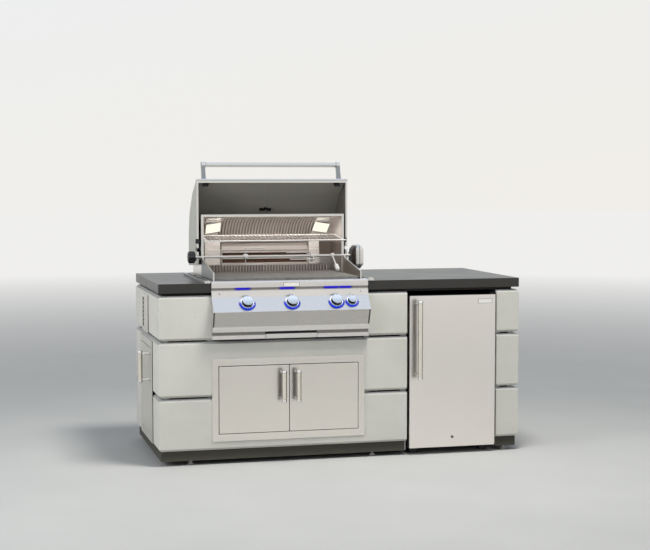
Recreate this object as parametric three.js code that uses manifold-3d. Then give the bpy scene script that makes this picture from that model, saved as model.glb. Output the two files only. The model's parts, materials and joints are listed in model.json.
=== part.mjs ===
// Outdoor kitchen island: a clad counter with a built-in gas grill whose hood stands
// open, a pair of access doors, a side door, a compact fridge and a rotisserie.
// Millimetres, +Z up. X runs along the counter, Y from its front face to its back.

import * as THREE from "three";
import { mergeVertices } from "three/addons/utils/BufferGeometryUtils.js";
import Module from "manifold-3d";

const wasm = await Module();
wasm.setup();

// Clearances, and how far a cut runs past the face that it opens
const seatGap = 0.3;
const overrun = 10;
const roundSides = 16;
const thinSides = 6;
const arcSteps = 8;
const housingSteps = 24;

// Counter and cladding
const counterWidth = 2008;
const counterDepth = 909;
const slabThickness = 50;
const revealHeight = 14;
const revealInset = 33;
const topRowHeight = 236;
const middleRowHeight = 293;
const bottomRowHeight = 276;
const rowGap = 8;
const panelThickness = 25;
const panelEdgeHeight = 12;
const panelEdgeDepth = 14;
const grooveDepth = 18;

// Inner frame, plinth and feet
const frameTube = 30;
const plinthHeight = 53;
const plinthInset = 12;
const footHeight = 25;
const footDiameter = 38;
const footDiscThickness = 11;
const footStemDiameter = 12;
const footInset = 55;
const footLeftInset = 174;
const footRightInset = 65;
const footMiddleInset = 182;

// Fridge bay
const columnWidth = 130;
const fridgeBayWidth = 519;
const fridgeSideGap = 12;
const fridgeBottom = 38;
const fridgeTopGap = 24.5;
const fridgeDoorProud = 8;
const fridgeDoorThickness = 40;
const fridgeDoorSheet = 3;
const fridgeDoorRim = 5;
const fridgeTabHeight = 60;
const fridgeTabDrop = 90;
const fridgeGasketGap = 6;
const fridgeCabinetDepth = 560;
const fridgeWall = 26;
const fridgeLegWidth = 36;
const fridgePinInset = 15;
const fridgePinDepth = 18;
const fridgePinDiameter = 8;
const fridgePinLength = 9;
const fridgeHandleInset = 44;
const fridgeHandleDrop = 20.5;
const fridgeHandleLength = 432;
const fridgeHandleDiameter = 27;
const fridgeHandlePostInset = 22;
const lockHeight = 54;
const lockDiameter = 14;
const lockProud = 3;
const lockDepth = 16;
const shelfHeight = 330;
const shelfWire = 6;
const shelfPitch = 48;
const shelfLedge = 8;
const shelfSetback = 60;

// Bar handles on the doors
const handleStandoff = 53;
const handlePostDiameter = 15;

// Double access doors under the grill
const doorFrameCentre = -305;
const doorFrameWidth = 835.5;
const doorFrameLift = 45;
const doorFrameHeight = 440;
const doorSideBorder = 34.5;
const doorEndBorder = 38.5;
const doorFrameProud = 4;
const doorSleeveWall = 3;
const doorSleeveDepth = 32;
const doorStopFront = 18;
const doorStopWidth = 12;
const leafGap = 3;
const leafThickness = 20;
const leafProud = 6;
const leafPinInset = 9;
const leafPinDiameter = 5;
const leafRim = 18;
const leafSheet = 3;
const leafHandleInset = 38;
const leafHandleBase = 161;
const leafHandleLength = 174;
const leafHandleDiameter = 26;
const leafHandlePostInset = 16;

// Door and vent plate in the left end
const sideDoorFront = 224;
const sideDoorWidth = 462;
const sideDoorLift = 6;
const sideDoorHeight = 556;
const sideHandleInset = 35;
const sideHandleTop = 51.5;
const sideHandleLength = 174;
const ventFront = 381;
const ventWidth = 229;
const ventLift = 5;
const ventHeight = 208;
const ventBorder = 18;
const ventDepth = 20;
const ventSheet = 3;
const ventSlotHeight = 9;
const ventSlotCount = 7;

// Grill: firebox, guards and hanger rails
const grillCentre = -298;
const notchHalfWidth = 414;
const notchBack = 692;
const fireboxHalfWidth = 407.7;
const fireboxFront = 48;
const fireboxDepth = 226;
const fireboxWall = 8;
const flangeThickness = 2.7;
const guardFrontHeight = 50;
const guardRise = 61;
const railInner = 431;
const railOuter = 462;
const railFront = -5;
const railThickness = 12.7;
const deckFront = 572;
const deckThickness = 8;
const ledgeWidth = 14;
const saddleLength = 34;
const saddleHeight = 16;
const outletWidth = 240;
const outletFront = 150;
const outletLength = 350;

// Grill: rear housing about the hood's pivot
const pivotY = 445;
const pivotHeight = 109;
const housingFront = 411;
const housingRadius = 243.5;
const housingWall = 11.5;
const housingSideWall = 8;
const housingFlange = 14;
const housingFlangeThickness = 4;
const pinRadius = 9;
const pinHeadRadius = 14;
const pinHeadThickness = 5;
const rackLugWidth = 16;
const rackLugThickness = 5;
const rackLugLength = 20;

// Grill: hood, measured from its pivot when it stands open
const hoodHalfWidth = 430;
const hoodSideThickness = 10;
const hoodWall = 8;
const hoodBack = 255;
const hoodLipHeight = 438;
const hoodFrontSetback = 22;
const hoodFrontFoot = 35;
const hoodBackFoot = 53;
const hoodShoulderYShares = [0.4745, 0.8745, 0.9843];
const hoodShoulderZShares = [0.8105, 0.5457, 0.2945];
const hoodBackRise = 33;
const lipReturn = 22;
const spitSlotClearance = 3;
const hoodSwing = 99.3;
const hornOffset = 1.5;
const hornStandoff = 91;
const hornInset = 34;
const hornThickness = 20;
const hornBaseStart = 5;
const hornBaseLength = 58;
const hornRadius = 17;
const hoodBarDiameter = 26;
const dialDiameter = 76;
const dialThickness = 12;
const dialPlace = 46;
const dialStemDiameter = 9;
const dialStemLength = 46;
const dialNutDiameter = 22;
const dialNutThickness = 8;

// Grill: control panel, profile from the top ledge down
const consoleHalfWidth = 427;
const consoleSheet = 3;
const ledgeRise = 10;
const bandProud = 12;
const topBandHeight = 35;
const lightGrooveHeight = 18;
const lightGrooveDepth = 7;
const secondBandHeight = 32;
const secondBandProud = 14;
const slopeRun = 58;
const slopeDrop = 73;
const slopeLip = 6;
const faceDrop = 76;
const stripProud = 38;
const stripHeight = 27;
const slotProud = 18;
const slotHeight = 15;
const bottomBandProud = 26;
const bottomBandHeight = 24;
const knobPlaces = [-242, 0, 243];
const smallKnobPlace = 329;
const knobSlopeShare = 0.4247;
const knobHoleDiameter = 18;
const bezelOuter = 76;
const bezelInner = 61.5;
const bezelHeight = 7;
const smallBezelOuter = 62;
const smallBezelInner = 47.5;

// Knobs and gas train
const knobBaseDiameter = 60;
const knobCapDiameter = 57;
const knobHeight = 38;
const smallKnobBaseDiameter = 46;
const smallKnobCapDiameter = 42;
const smallKnobHeight = 34;
const knobBaseShare = 0.2;
const knobWaistShare = 0.86;
const knobCapShares = [0.72, 0.84, 0.95];
const knobHubDiameter = 13;
const knobHubLength = 9;
const manifoldDepth = 62;
const manifoldDiameter = 24;
const manifoldEndGap = 18;
const valveDiameter = 20;
const stemDiameter = 8;
const manifoldTabWidth = 24;
const manifoldTabThickness = 6;

// Cooking parts
const grateLift = 22;
const grateBar = 8;
const gratePitch = 33;
const grateCrossCount = 2;
const tamerDrop = 33;
const tamerHalfWidth = 62;
const tamerHeight = 26;
const tamerSheet = 3;
const tamerRail = 8;
const tamerInset = 24;
const burnerDiameter = 44;
const burnerDrop = 93;
const burnerLength = 470;
const burnerCrossDiameter = 26;
const rackFront = 355;
const rackBack = 520;
const rackFrontRise = 205;
const rackBackRise = 228;
const rackFrontHalfWidth = 403;
const rackHalfWidth = 390;
const rackRail = 8;
const rackWire = 4;
const rackWireCount = 14;
const rearBurnerHalfWidth = 254;
const rearBurnerLift = 54;
const rearBurnerHeight = 138;
const rearBurnerFront = 635;
const rearBurnerSheet = 4;
const lampPlace = 316;
const lampWidth = 88;
const lampHeight = 70;
const lampAngle = 47;
const lampDepth = 16;

// Rotisserie
const spitForward = 51;
const spitRise = 7.5;
const spitDiameter = 12.7;
const spitHandlePlace = 444;
const spitHandleLength = 46;
const spitHandleDiameter = 74;
const spitHandleRoundShare = 0.17;
const forkHubDiameter = 30;
const forkHubLength = 25;
const forkSpread = 48;
const forkProng = 6;
const forkPlaces = [-175, 233];
const forkLengths = [107, 140];
const forkTurns = [90, 202];
const forkScrewDiameter = 8;
const forkScrewLength = 18;
const forkScrewHead = 18;
const weightPlace = 325;
const weightArm = 157;
const weightRadius = 15;
const weightLength = 44;
const weightRod = 7;
const weightCollar = 28;
const weightCollarLength = 20;
const motorInner = 440;
const motorBracket = 6;
const motorWidth = 65;
const motorFront = 345;
const motorDepth = 120;
const motorLift = 42;
const motorHeight = 133;
const motorCorner = 18;
const motorFootFront = 365;
const motorFootLength = 70;

// Drip tray
const trayHalfWidth = 139;
const trayFrontGap = 2;
const trayPanHalfWidth = 126;
const trayRimInset = 1;
const trayRunnerGap = 3;
const trayPanFront = 24;
const trayHeight = 35;
const traySheet = 3;
const trayBack = 560;
const runnerWall = 4;
const runnerLedge = 16;
const runnerFront = 60;
const runnerDrop = 41;

// Places worked out from the sizes above
const halfWidth = counterWidth / 2;
const rowAbove = (z0, height) => ({ z0, z1: z0 + height });
const bottomRow = rowAbove(footHeight + plinthHeight, bottomRowHeight);
const middleRow = rowAbove(bottomRow.z1 + rowGap, middleRowHeight);
const topRow = rowAbove(middleRow.z1 + rowGap, topRowHeight);
const slabBottom = topRow.z1 + revealHeight;
const counterTop = slabBottom + slabThickness;
const fridgeHeight = topRow.z1 - fridgeTopGap - fridgeBottom;
const doorFrameBottom = bottomRow.z0 + doorFrameLift;
const sideDoorBottom = bottomRow.z0 + sideDoorLift;
const ventBottom = topRow.z0 + ventLift;
const fireboxBottom = counterTop - fireboxDepth;
const grateTop = counterTop + grateLift;
const tamerTop = counterTop - tamerDrop;
const burnerLevel = counterTop - burnerDrop;
const rearBurnerBottom = counterTop + rearBurnerLift;
const rearBurnerTop = rearBurnerBottom + rearBurnerHeight;
const motorBottom = counterTop + motorLift;
const hornHalfSpan = hoodHalfWidth - hornInset;
const manifoldHalfLength = notchHalfWidth - manifoldEndGap;
const frameInset = panelThickness + seatGap;
const bayRight = halfWidth - columnWidth;
const bayLeft = bayRight - fridgeBayWidth;
const notchLeft = grillCentre - notchHalfWidth;
const notchRight = grillCentre + notchHalfWidth;
const pivotZ = counterTop + pivotHeight;
const fireboxBack = pivotY + housingRadius;
const fireboxInner = fireboxHalfWidth - fireboxWall;
const fireboxTop = counterTop + seatGap + flangeThickness;
const railTop = counterTop + seatGap + railThickness;
const housingBottom = fireboxTop + seatGap;
const grateHalfWidth = fireboxHalfWidth - housingFlange - seatGap;
const linerRadius = housingRadius - housingWall;
const consoleTop = counterTop + ledgeRise;
const spitY = pivotY - spitForward;
const spitZ = pivotZ + spitRise;
const spitRadius = spitDiameter / 2;

const xAxis = new THREE.Vector3(1, 0, 0);
const yAxis = new THREE.Vector3(0, 1, 0);
const zAxis = new THREE.Vector3(0, 0, 1);

// Colours and surface values of the finishes
const finishes = {
  slabStone: { color: 0x8c8a84, roughness: 0.55, metalness: 0 },
  cladding: { color: 0xc8c8c0, roughness: 0.85, metalness: 0 },
  darkBoard: { color: 0x2b2a28, roughness: 0.9, metalness: 0 },
  plinthBoard: { color: 0x34322d, roughness: 0.8, metalness: 0 },
  frameMetal: { color: 0x9a9c9e, roughness: 0.5, metalness: 0.9 },
  stainless: { color: 0xcdc6be, roughness: 0.32, metalness: 1 },
  polished: { color: 0xd9d9da, roughness: 0.12, metalness: 1 },
  liner: { color: 0x6f6c66, roughness: 0.4, metalness: 0.9 },
  blackPlastic: { color: 0x161616, roughness: 0.5, metalness: 0 },
  lampGlass: { color: 0xfff1cf, roughness: 0.2, metalness: 0 },
  castIron: { color: 0x2a2a2a, roughness: 0.7, metalness: 0.6 },
  brass: { color: 0xb08d4a, roughness: 0.35, metalness: 0.9 },
};

// A closed geometry as a solid that can be joined and cut
function solidOf(geometry) {
  geometry.deleteAttribute("normal");
  geometry.deleteAttribute("uv");
  const merged = mergeVertices(geometry);
  return new wasm.Manifold(new wasm.Mesh({
    numProp: 3,
    vertProperties: merged.attributes.position.array,
    triVerts: Uint32Array.from(merged.index.array),
  }));
}

function geometryOf(solid) {
  const { numProp, vertProperties, triVerts } = solid.getMesh();
  const geometry = new THREE.BufferGeometry();
  geometry.setAttribute("position", new THREE.BufferAttribute(vertProperties, numProp));
  geometry.setIndex(new THREE.BufferAttribute(triVerts, 1));
  geometry.computeVertexNormals();
  return geometry;
}

function join(...solids) {
  return solids.reduce((whole, solid) => whole.add(solid));
}

function cut(base, ...tools) {
  return tools.reduce((rest, tool) => rest.subtract(tool), base);
}

function piece(name, solid, finish) {
  const mesh = new THREE.Mesh(geometryOf(solid), new THREE.MeshStandardMaterial(finishes[finish]));
  mesh.name = name;
  return mesh;
}

function groupAt(x, y, z, ...children) {
  const group = new THREE.Group();
  group.position.set(x, y, z);
  group.add(...children);
  return group;
}

// Basic shapes
function block(x0, x1, y0, y1, z0, z1) {
  const geometry = new THREE.BoxGeometry(x1 - x0, y1 - y0, z1 - z0);
  geometry.translate((x0 + x1) / 2, (y0 + y1) / 2, (z0 + z1) / 2);
  return solidOf(geometry);
}

function shapeOf(outline) {
  if (outline instanceof THREE.Shape) return outline;
  return new THREE.Shape(outline.map(([across, up]) => new THREE.Vector2(across, up)));
}

function prism(outline, right, up, out, from, to) {
  const settings = { depth: to - from, bevelEnabled: false, curveSegments: arcSteps };
  const geometry = new THREE.ExtrudeGeometry(shapeOf(outline), settings);
  geometry.translate(0, 0, from);
  geometry.applyMatrix4(new THREE.Matrix4().makeBasis(right, up, out));
  return solidOf(geometry);
}

// An outline of (y, z) points run along X, of (x, z) points along Y, of (x, y) along Z
function prismX(outline, x0, x1) {
  return prism(outline, yAxis, zAxis, xAxis, x0, x1);
}

function prismY(outline, y0, y1) {
  return prism(outline, xAxis, zAxis, yAxis.clone().negate(), -y1, -y0);
}

function prismZ(outline, z0, z1) {
  return prism(outline, xAxis, yAxis, zAxis, z0, z1);
}

// A round bar from one point to another
function rod(from, to, radius, sides = roundSides) {
  const start = new THREE.Vector3(...from);
  const end = new THREE.Vector3(...to);
  const direction = end.clone().sub(start);
  const geometry = new THREE.CylinderGeometry(radius, radius, direction.length(), sides);
  geometry.applyQuaternion(new THREE.Quaternion().setFromUnitVectors(yAxis, direction.normalize()));
  const middle = start.add(end).multiplyScalar(1 / 2);
  geometry.translate(middle.x, middle.y, middle.z);
  return solidOf(geometry);
}

// A turned shape about Z from (radius, height) points listed from the bottom up
function turned(profile, sides = roundSides) {
  const points = profile.map(([radius, height]) => new THREE.Vector2(radius, height));
  const geometry = new THREE.LatheGeometry(points, sides);
  geometry.rotateX(Math.PI / 2);
  return solidOf(geometry);
}

// A ring about Z with a bore
function washer(bore, outer, z0, z1) {
  return turned([[bore, z0], [outer, z0], [outer, z1], [bore, z1], [bore, z0]]);
}

// Points on an arc about a centre, angles in degrees from the first axis to the second
function arc(centre, radius, from, to, steps = arcSteps) {
  const points = [];
  for (let step = 0; step <= steps; step += 1) {
    const angle = THREE.MathUtils.degToRad(from + ((to - from) * step) / steps);
    points.push([centre[0] + radius * Math.cos(angle), centre[1] + radius * Math.sin(angle)]);
  }
  return points;
}

// A closed outline of even thickness to the right of an open line of points
function sheetOutline(points, thickness) {
  const inner = points.map((point, index) => {
    const before = points[Math.max(index - 1, 0)];
    const after = points[Math.min(index + 1, points.length - 1)];
    const incoming = new THREE.Vector2(point[0] - before[0], point[1] - before[1]).normalize();
    const outgoing = new THREE.Vector2(after[0] - point[0], after[1] - point[1]).normalize();
    if (index === 0) incoming.copy(outgoing);
    if (index === points.length - 1) outgoing.copy(incoming);
    const side = incoming.clone().add(outgoing).normalize();
    const reach = thickness / Math.max(side.dot(incoming), Number.EPSILON);
    return [point[0] + side.y * reach, point[1] - side.x * reach];
  });
  return [...points, ...inner.reverse()];
}

// A body through a stack of level rings that have the same number of points
function stack(levels) {
  const count = levels[0].ring.length;
  const positions = levels.flatMap(({ ring, z }) => ring.flatMap(([x, y]) => [x, y, z]));
  const faces = [];
  for (let level = 0; level + 1 < levels.length; level += 1) {
    for (let corner = 0; corner < count; corner += 1) {
      const next = (corner + 1) % count;
      const low = level * count;
      const high = low + count;
      faces.push(low + corner, low + next, high + next);
      faces.push(low + corner, high + next, high + corner);
    }
  }
  const flat = (ring) => ring.map(([x, y]) => new THREE.Vector2(x, y));
  const last = (levels.length - 1) * count;
  for (const [a, b, c] of THREE.ShapeUtils.triangulateShape(flat(levels[0].ring), [])) {
    faces.push(a, c, b);
  }
  for (const [a, b, c] of THREE.ShapeUtils.triangulateShape(flat(levels.at(-1).ring), [])) {
    faces.push(last + a, last + b, last + c);
  }
  const geometry = new THREE.BufferGeometry();
  geometry.setAttribute("position", new THREE.Float32BufferAttribute(positions, 3));
  geometry.setIndex(faces);
  return solidOf(geometry);
}

function rectangle(x0, x1, y0, y1) {
  return [[x0, y0], [x1, y0], [x1, y1], [x0, y1]];
}

// Counter slab, open to the front where the grill drops in
function countertop() {
  const slab = block(-halfWidth, halfWidth, 0, counterDepth, slabBottom, counterTop);
  const notch = block(
    notchLeft, notchRight, -overrun, notchBack, slabBottom - overrun, counterTop + overrun,
  );
  return cut(slab, notch);
}

// Board under the slab, set back so that it shows as a dark strip
function counterSubframe() {
  const left = -halfWidth + revealInset;
  const board = block(
    left, -left, revealInset, counterDepth - revealInset, topRow.z1, slabBottom - seatGap,
  );
  return cut(board, block(notchLeft, notchRight, -overrun, notchBack, topRow.z1 - overrun, slabBottom));
}

// Welded tube frame: posts, a bottom ring open at the fridge bay, and a top ring open
// at the grill, with cross tubes on both sides of the grill and of the bay
function islandFrame() {
  const z0 = footHeight + seatGap;
  const z1 = topRow.z1 - seatGap;
  const left = -halfWidth + frameInset;
  const right = -left;
  const front = frameInset;
  const back = counterDepth - frameInset;
  const across = (x0, x1, y, z) => block(x0, x1, y, y + frameTube, z, z + frameTube);
  const along = (x, z) => block(x, x + frameTube, front, back, z, z + frameTube);
  const post = (x, y) => block(x, x + frameTube, y, y + frameTube, z0, z1);
  const low = z0;
  const high = z1 - frameTube;
  const lines = [left, notchLeft - frameTube, notchRight, bayLeft - frameTube, bayRight, right - frameTube];
  const tubes = [
    across(left, bayLeft, front, low),
    across(bayRight, right, front, low),
    across(left, right, back - frameTube, low),
    across(left, notchLeft, front, high),
    across(notchRight, bayLeft, front, high),
    across(bayRight, right, front, high),
    across(left, right, back - frameTube, high),
    across(notchLeft - frameTube, notchRight + frameTube, notchBack, high),
  ];
  for (const x of lines) {
    tubes.push(post(x, front), post(x, back - frameTube), along(x, low), along(x, high));
  }
  return join(...tubes);
}

// Plinth boards round the foot of the island, open at the fridge bay
function plinth() {
  const inset = halfWidth - plinthInset;
  const inner = halfWidth - frameInset + seatGap;
  const top = bottomRow.z0 - seatGap;
  const ring = cut(
    block(-inset, inset, plinthInset, counterDepth - plinthInset, footHeight, top),
    block(-inner, inner, frameInset - seatGap, counterDepth - frameInset + seatGap, 0, top + overrun),
  );
  return cut(ring, block(bayLeft - overrun, bayRight, 0, frameInset, 0, top + overrun));
}

function levellingFoot() {
  const stem = footStemDiameter / 2;
  const disc = footDiameter / 2;
  return turned([
    [0, 0], [disc, 0], [disc, footDiscThickness],
    [stem, footDiscThickness], [stem, footHeight], [0, footHeight],
  ]);
}

function levellingFeet() {
  const places = [
    ["left", -halfWidth + footLeftInset],
    ["middle", bayLeft - footMiddleInset],
    ["right", halfWidth - footRightInset],
  ];
  const feet = [];
  for (const [name, x] of places) {
    for (const [side, y] of [["front", footInset], ["rear", counterDepth - footInset]]) {
      const foot = piece(`levelling_foot_${side}_${name}`, levellingFoot(), "blackPlastic");
      foot.position.set(x, y, 0);
      feet.push(foot);
    }
  }
  return feet;
}

// One cladding panel in a row, with sloping top and bottom edges on its outer sides
function claddingPanel(full, inset, row) {
  return stack([
    { ring: inset, z: row.z0 },
    { ring: full, z: row.z0 + panelEdgeHeight },
    { ring: full, z: row.z1 - panelEdgeHeight },
    { ring: inset, z: row.z1 },
  ]);
}

function frontPanel(x0, x1, row, startsAtCorner) {
  const slant = startsAtCorner ? panelEdgeDepth : 0;
  return claddingPanel(
    rectangle(x0, x1, 0, panelThickness),
    rectangle(x0 + slant, x1, panelEdgeDepth, panelThickness),
    row,
  );
}

function leftPanel(row) {
  const inner = -halfWidth + panelThickness;
  return claddingPanel(
    rectangle(-halfWidth, inner, frameInset, counterDepth - frameInset),
    rectangle(-halfWidth + panelEdgeDepth, inner, frameInset, counterDepth - frameInset),
    row,
  );
}

// The column right of the fridge and the right end, folded round the corner
function cornerPanel(row) {
  const corner = (inset) => [
    [bayRight, inset],
    [halfWidth - inset, inset],
    [halfWidth - inset, counterDepth - frameInset],
    [halfWidth - panelThickness, counterDepth - frameInset],
    [halfWidth - panelThickness, panelThickness],
    [bayRight, panelThickness],
  ];
  return claddingPanel(corner(0), corner(panelEdgeDepth), row);
}

// The back is one panel with the row joints cut into it
function backPanel() {
  const ring = (inset) => rectangle(
    -halfWidth + inset, halfWidth - inset, counterDepth - panelThickness, counterDepth - inset,
  );
  const levels = [];
  for (const row of [bottomRow, middleRow, topRow]) {
    levels.push({ ring: ring(panelEdgeDepth), z: row.z0 });
    levels.push({ ring: ring(0), z: row.z0 + panelEdgeHeight });
    levels.push({ ring: ring(0), z: row.z1 - panelEdgeHeight });
    levels.push({ ring: ring(panelEdgeDepth), z: row.z1 });
    if (row !== topRow) {
      levels.push({ ring: ring(grooveDepth), z: row.z1 });
      levels.push({ ring: ring(grooveDepth), z: row.z1 + rowGap });
    }
  }
  return stack(levels);
}

// The hole in the cladding behind a door frame
function frontDoorHole() {
  const clear = doorSleeveWall + seatGap;
  const x0 = doorFrameCentre - doorFrameWidth / 2 + doorSideBorder - clear;
  const x1 = doorFrameCentre + doorFrameWidth / 2 - doorSideBorder + clear;
  const z0 = doorFrameBottom + doorEndBorder - clear;
  const z1 = doorFrameBottom + doorFrameHeight - doorEndBorder + clear;
  return block(x0, x1, -overrun, panelThickness + overrun, z0, z1);
}

function sideDoorHole() {
  const clear = doorSleeveWall + seatGap;
  const y0 = sideDoorFront + doorSideBorder - clear;
  const y1 = sideDoorFront + sideDoorWidth - doorSideBorder + clear;
  const z0 = sideDoorBottom + doorEndBorder - clear;
  const z1 = sideDoorBottom + sideDoorHeight - doorEndBorder + clear;
  const inner = -halfWidth + panelThickness + overrun;
  return block(-halfWidth - overrun, inner, y0, y1, z0, z1);
}

function ventHole() {
  const y0 = ventFront + ventBorder - seatGap;
  const y1 = ventFront + ventWidth - ventBorder + seatGap;
  const z0 = ventBottom + ventBorder - seatGap;
  const z1 = ventBottom + ventHeight - ventBorder + seatGap;
  const inner = -halfWidth + panelThickness + overrun;
  return block(-halfWidth - overrun, inner, y0, y1, z0, z1);
}

function cladding() {
  const left = -halfWidth;
  const frontMiddle = cut(frontPanel(left, bayLeft, middleRow, true), frontDoorHole());
  const frontBottom = cut(frontPanel(left, bayLeft, bottomRow, true), frontDoorHole());
  return [
    piece("front_panel_top_left", frontPanel(left, notchLeft, topRow, true), "cladding"),
    piece("front_panel_top_right", frontPanel(notchRight, bayLeft, topRow, false), "cladding"),
    piece("front_panel_middle", frontMiddle, "cladding"),
    piece("front_panel_bottom", frontBottom, "cladding"),
    piece("corner_panel_top", cornerPanel(topRow), "cladding"),
    piece("corner_panel_middle", cornerPanel(middleRow), "cladding"),
    piece("corner_panel_bottom", cornerPanel(bottomRow), "cladding"),
    piece("left_panel_top", cut(leftPanel(topRow), ventHole()), "cladding"),
    piece("left_panel_middle", cut(leftPanel(middleRow), sideDoorHole()), "cladding"),
    piece("left_panel_bottom", cut(leftPanel(bottomRow), sideDoorHole()), "cladding"),
    piece("back_panel", backPanel(), "cladding"),
  ];
}

// Vent plate: a flange on the cladding round a recessed louvred box
function sideVentPlate() {
  const face = -halfWidth - doorFrameProud;
  const back = -halfWidth - seatGap;
  const y1 = ventFront + ventWidth;
  const z1 = ventBottom + ventHeight;
  const flange = block(face, back, ventFront, y1, ventBottom, z1);
  const box = block(
    face, -halfWidth + ventDepth, ventFront + ventBorder, y1 - ventBorder,
    ventBottom + ventBorder, z1 - ventBorder,
  );
  const opening = ventBorder + ventSheet;
  const recess = block(
    face - overrun, face + ventSheet, ventFront + opening, y1 - opening, ventBottom + opening, z1 - opening,
  );
  const hollow = block(
    back + ventSheet, -halfWidth + ventDepth + overrun, ventFront + opening, y1 - opening,
    ventBottom + opening, z1 - opening,
  );
  const slots = [];
  const slotPitch = (ventHeight - 2 * opening) / ventSlotCount;
  for (let index = 0; index < ventSlotCount; index += 1) {
    const middle = ventBottom + opening + (index + 1 / 2) * slotPitch;
    slots.push(block(
      face - overrun, back + ventDepth, ventFront + opening + ventSheet, y1 - opening - ventSheet,
      middle - ventSlotHeight / 2, middle + ventSlotHeight / 2,
    ));
  }
  return cut(join(flange, box), recess, hollow, ...slots);
}

// Access doors. The frame's origin is its lower left corner on the cladding face
function doorFrame(width, height) {
  const x0 = doorSideBorder;
  const x1 = width - doorSideBorder;
  const z0 = doorEndBorder;
  const z1 = height - doorEndBorder;
  const wall = doorSleeveWall;
  const stop = doorStopWidth;
  const flange = block(0, width, -doorFrameProud, -seatGap, 0, height);
  const sleeve = block(x0 - wall, x1 + wall, -doorFrameProud, doorSleeveDepth, z0 - wall, z1 + wall);
  const passage = block(x0, x1, -doorFrameProud - overrun, doorStopFront, z0, z1);
  const window = block(x0 + stop, x1 - stop, 0, doorSleeveDepth + overrun, z0 + stop, z1 - stop);
  return cut(join(flange, sleeve), passage, window);
}

// A leaf hangs on its pins: its origin is the pin line at its lower edge, and side is 1
// where it reaches towards +X and -1 where it reaches towards -X
function doorLeaf(width, height, side) {
  const x0 = -leafPinInset;
  const x1 = width - leafPinInset;
  const y0 = -leafProud;
  const y1 = leafThickness - leafProud;
  const pin = leafGap - seatGap;
  const span = (from, to) => (side > 0 ? [from, to] : [-to, -from]);
  const slab = block(...span(x0, x1), y0, y1, 0, height);
  const pocket = block(
    ...span(x0 + leafRim, x1 - leafRim), y0 + leafSheet, y1 + overrun, leafRim, height - leafRim,
  );
  const pins = [
    rod([0, 0, -pin], [0, 0, leafSheet], leafPinDiameter / 2),
    rod([0, 0, height - leafSheet], [0, 0, height + pin], leafPinDiameter / 2),
  ];
  return join(cut(slab, pocket), ...pins);
}

// An upright bar on two posts: the origin is its lower end on the face that carries it
function barHandle(length, diameter, postInset) {
  const axis = -handleStandoff;
  const radius = diameter / 2;
  const round = radius / 2;
  const bar = turned([
    [0, 0], [radius - round, 0], [radius, round],
    [radius, length - round], [radius - round, length], [0, length],
  ]).translate([0, axis, 0]);
  const posts = [postInset, length - postInset].map(
    (z) => rod([0, axis, z], [0, -seatGap, z], handlePostDiameter / 2),
  );
  return join(bar, ...posts);
}

function frontDoors() {
  const left = doorFrameCentre - doorFrameWidth / 2;
  const right = doorFrameCentre + doorFrameWidth / 2;
  const leafWidth = (doorFrameWidth - 2 * doorSideBorder - 3 * leafGap) / 2;
  const leafHeight = doorFrameHeight - 2 * doorEndBorder - 2 * leafGap;
  const leafBottom = doorFrameBottom + doorEndBorder + leafGap;
  const pinFromFrame = doorSideBorder + leafGap + leafPinInset;
  const handlePlace = leafWidth - leafPinInset - leafHandleInset;
  const parts = [];
  const frame = piece("double_door_frame", doorFrame(doorFrameWidth, doorFrameHeight), "stainless");
  frame.position.set(left, 0, doorFrameBottom);
  parts.push(frame);
  for (const [name, side, pin] of [["left", 1, left + pinFromFrame], ["right", -1, right - pinFromFrame]]) {
    const leaf = piece(`${name}_access_door`, doorLeaf(leafWidth, leafHeight, side), "stainless");
    const bar = barHandle(leafHandleLength, leafHandleDiameter, leafHandlePostInset);
    const handle = piece(`${name}_door_handle`, bar, "polished");
    handle.position.set(side * handlePlace, -leafProud, leafHandleBase);
    parts.push(groupAt(pin, 0, leafBottom, leaf, handle));
  }
  return parts;
}

// The side door is built as a front door and turned to face the left end
function sideDoor() {
  const leafWidth = sideDoorWidth - 2 * doorSideBorder - 2 * leafGap;
  const leafHeight = sideDoorHeight - 2 * doorEndBorder - 2 * leafGap;
  const frame = piece("side_door_frame", doorFrame(sideDoorWidth, sideDoorHeight), "stainless");
  const leaf = piece("side_access_door", doorLeaf(leafWidth, leafHeight, 1), "stainless");
  const bar = barHandle(sideHandleLength, leafHandleDiameter, leafHandlePostInset);
  const handle = piece("side_door_handle", bar, "polished");
  const handleBottom = leafHeight - sideHandleTop - sideHandleLength + doorEndBorder;
  handle.position.set(leafWidth - leafPinInset - sideHandleInset, -leafProud, handleBottom);
  const pin = doorSideBorder + leafGap + leafPinInset;
  const hung = groupAt(pin, 0, doorEndBorder + leafGap, leaf, handle);
  const whole = groupAt(-halfWidth, sideDoorFront + sideDoorWidth, sideDoorBottom, frame, hung);
  whole.rotation.z = -Math.PI / 2;
  return whole;
}

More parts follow.
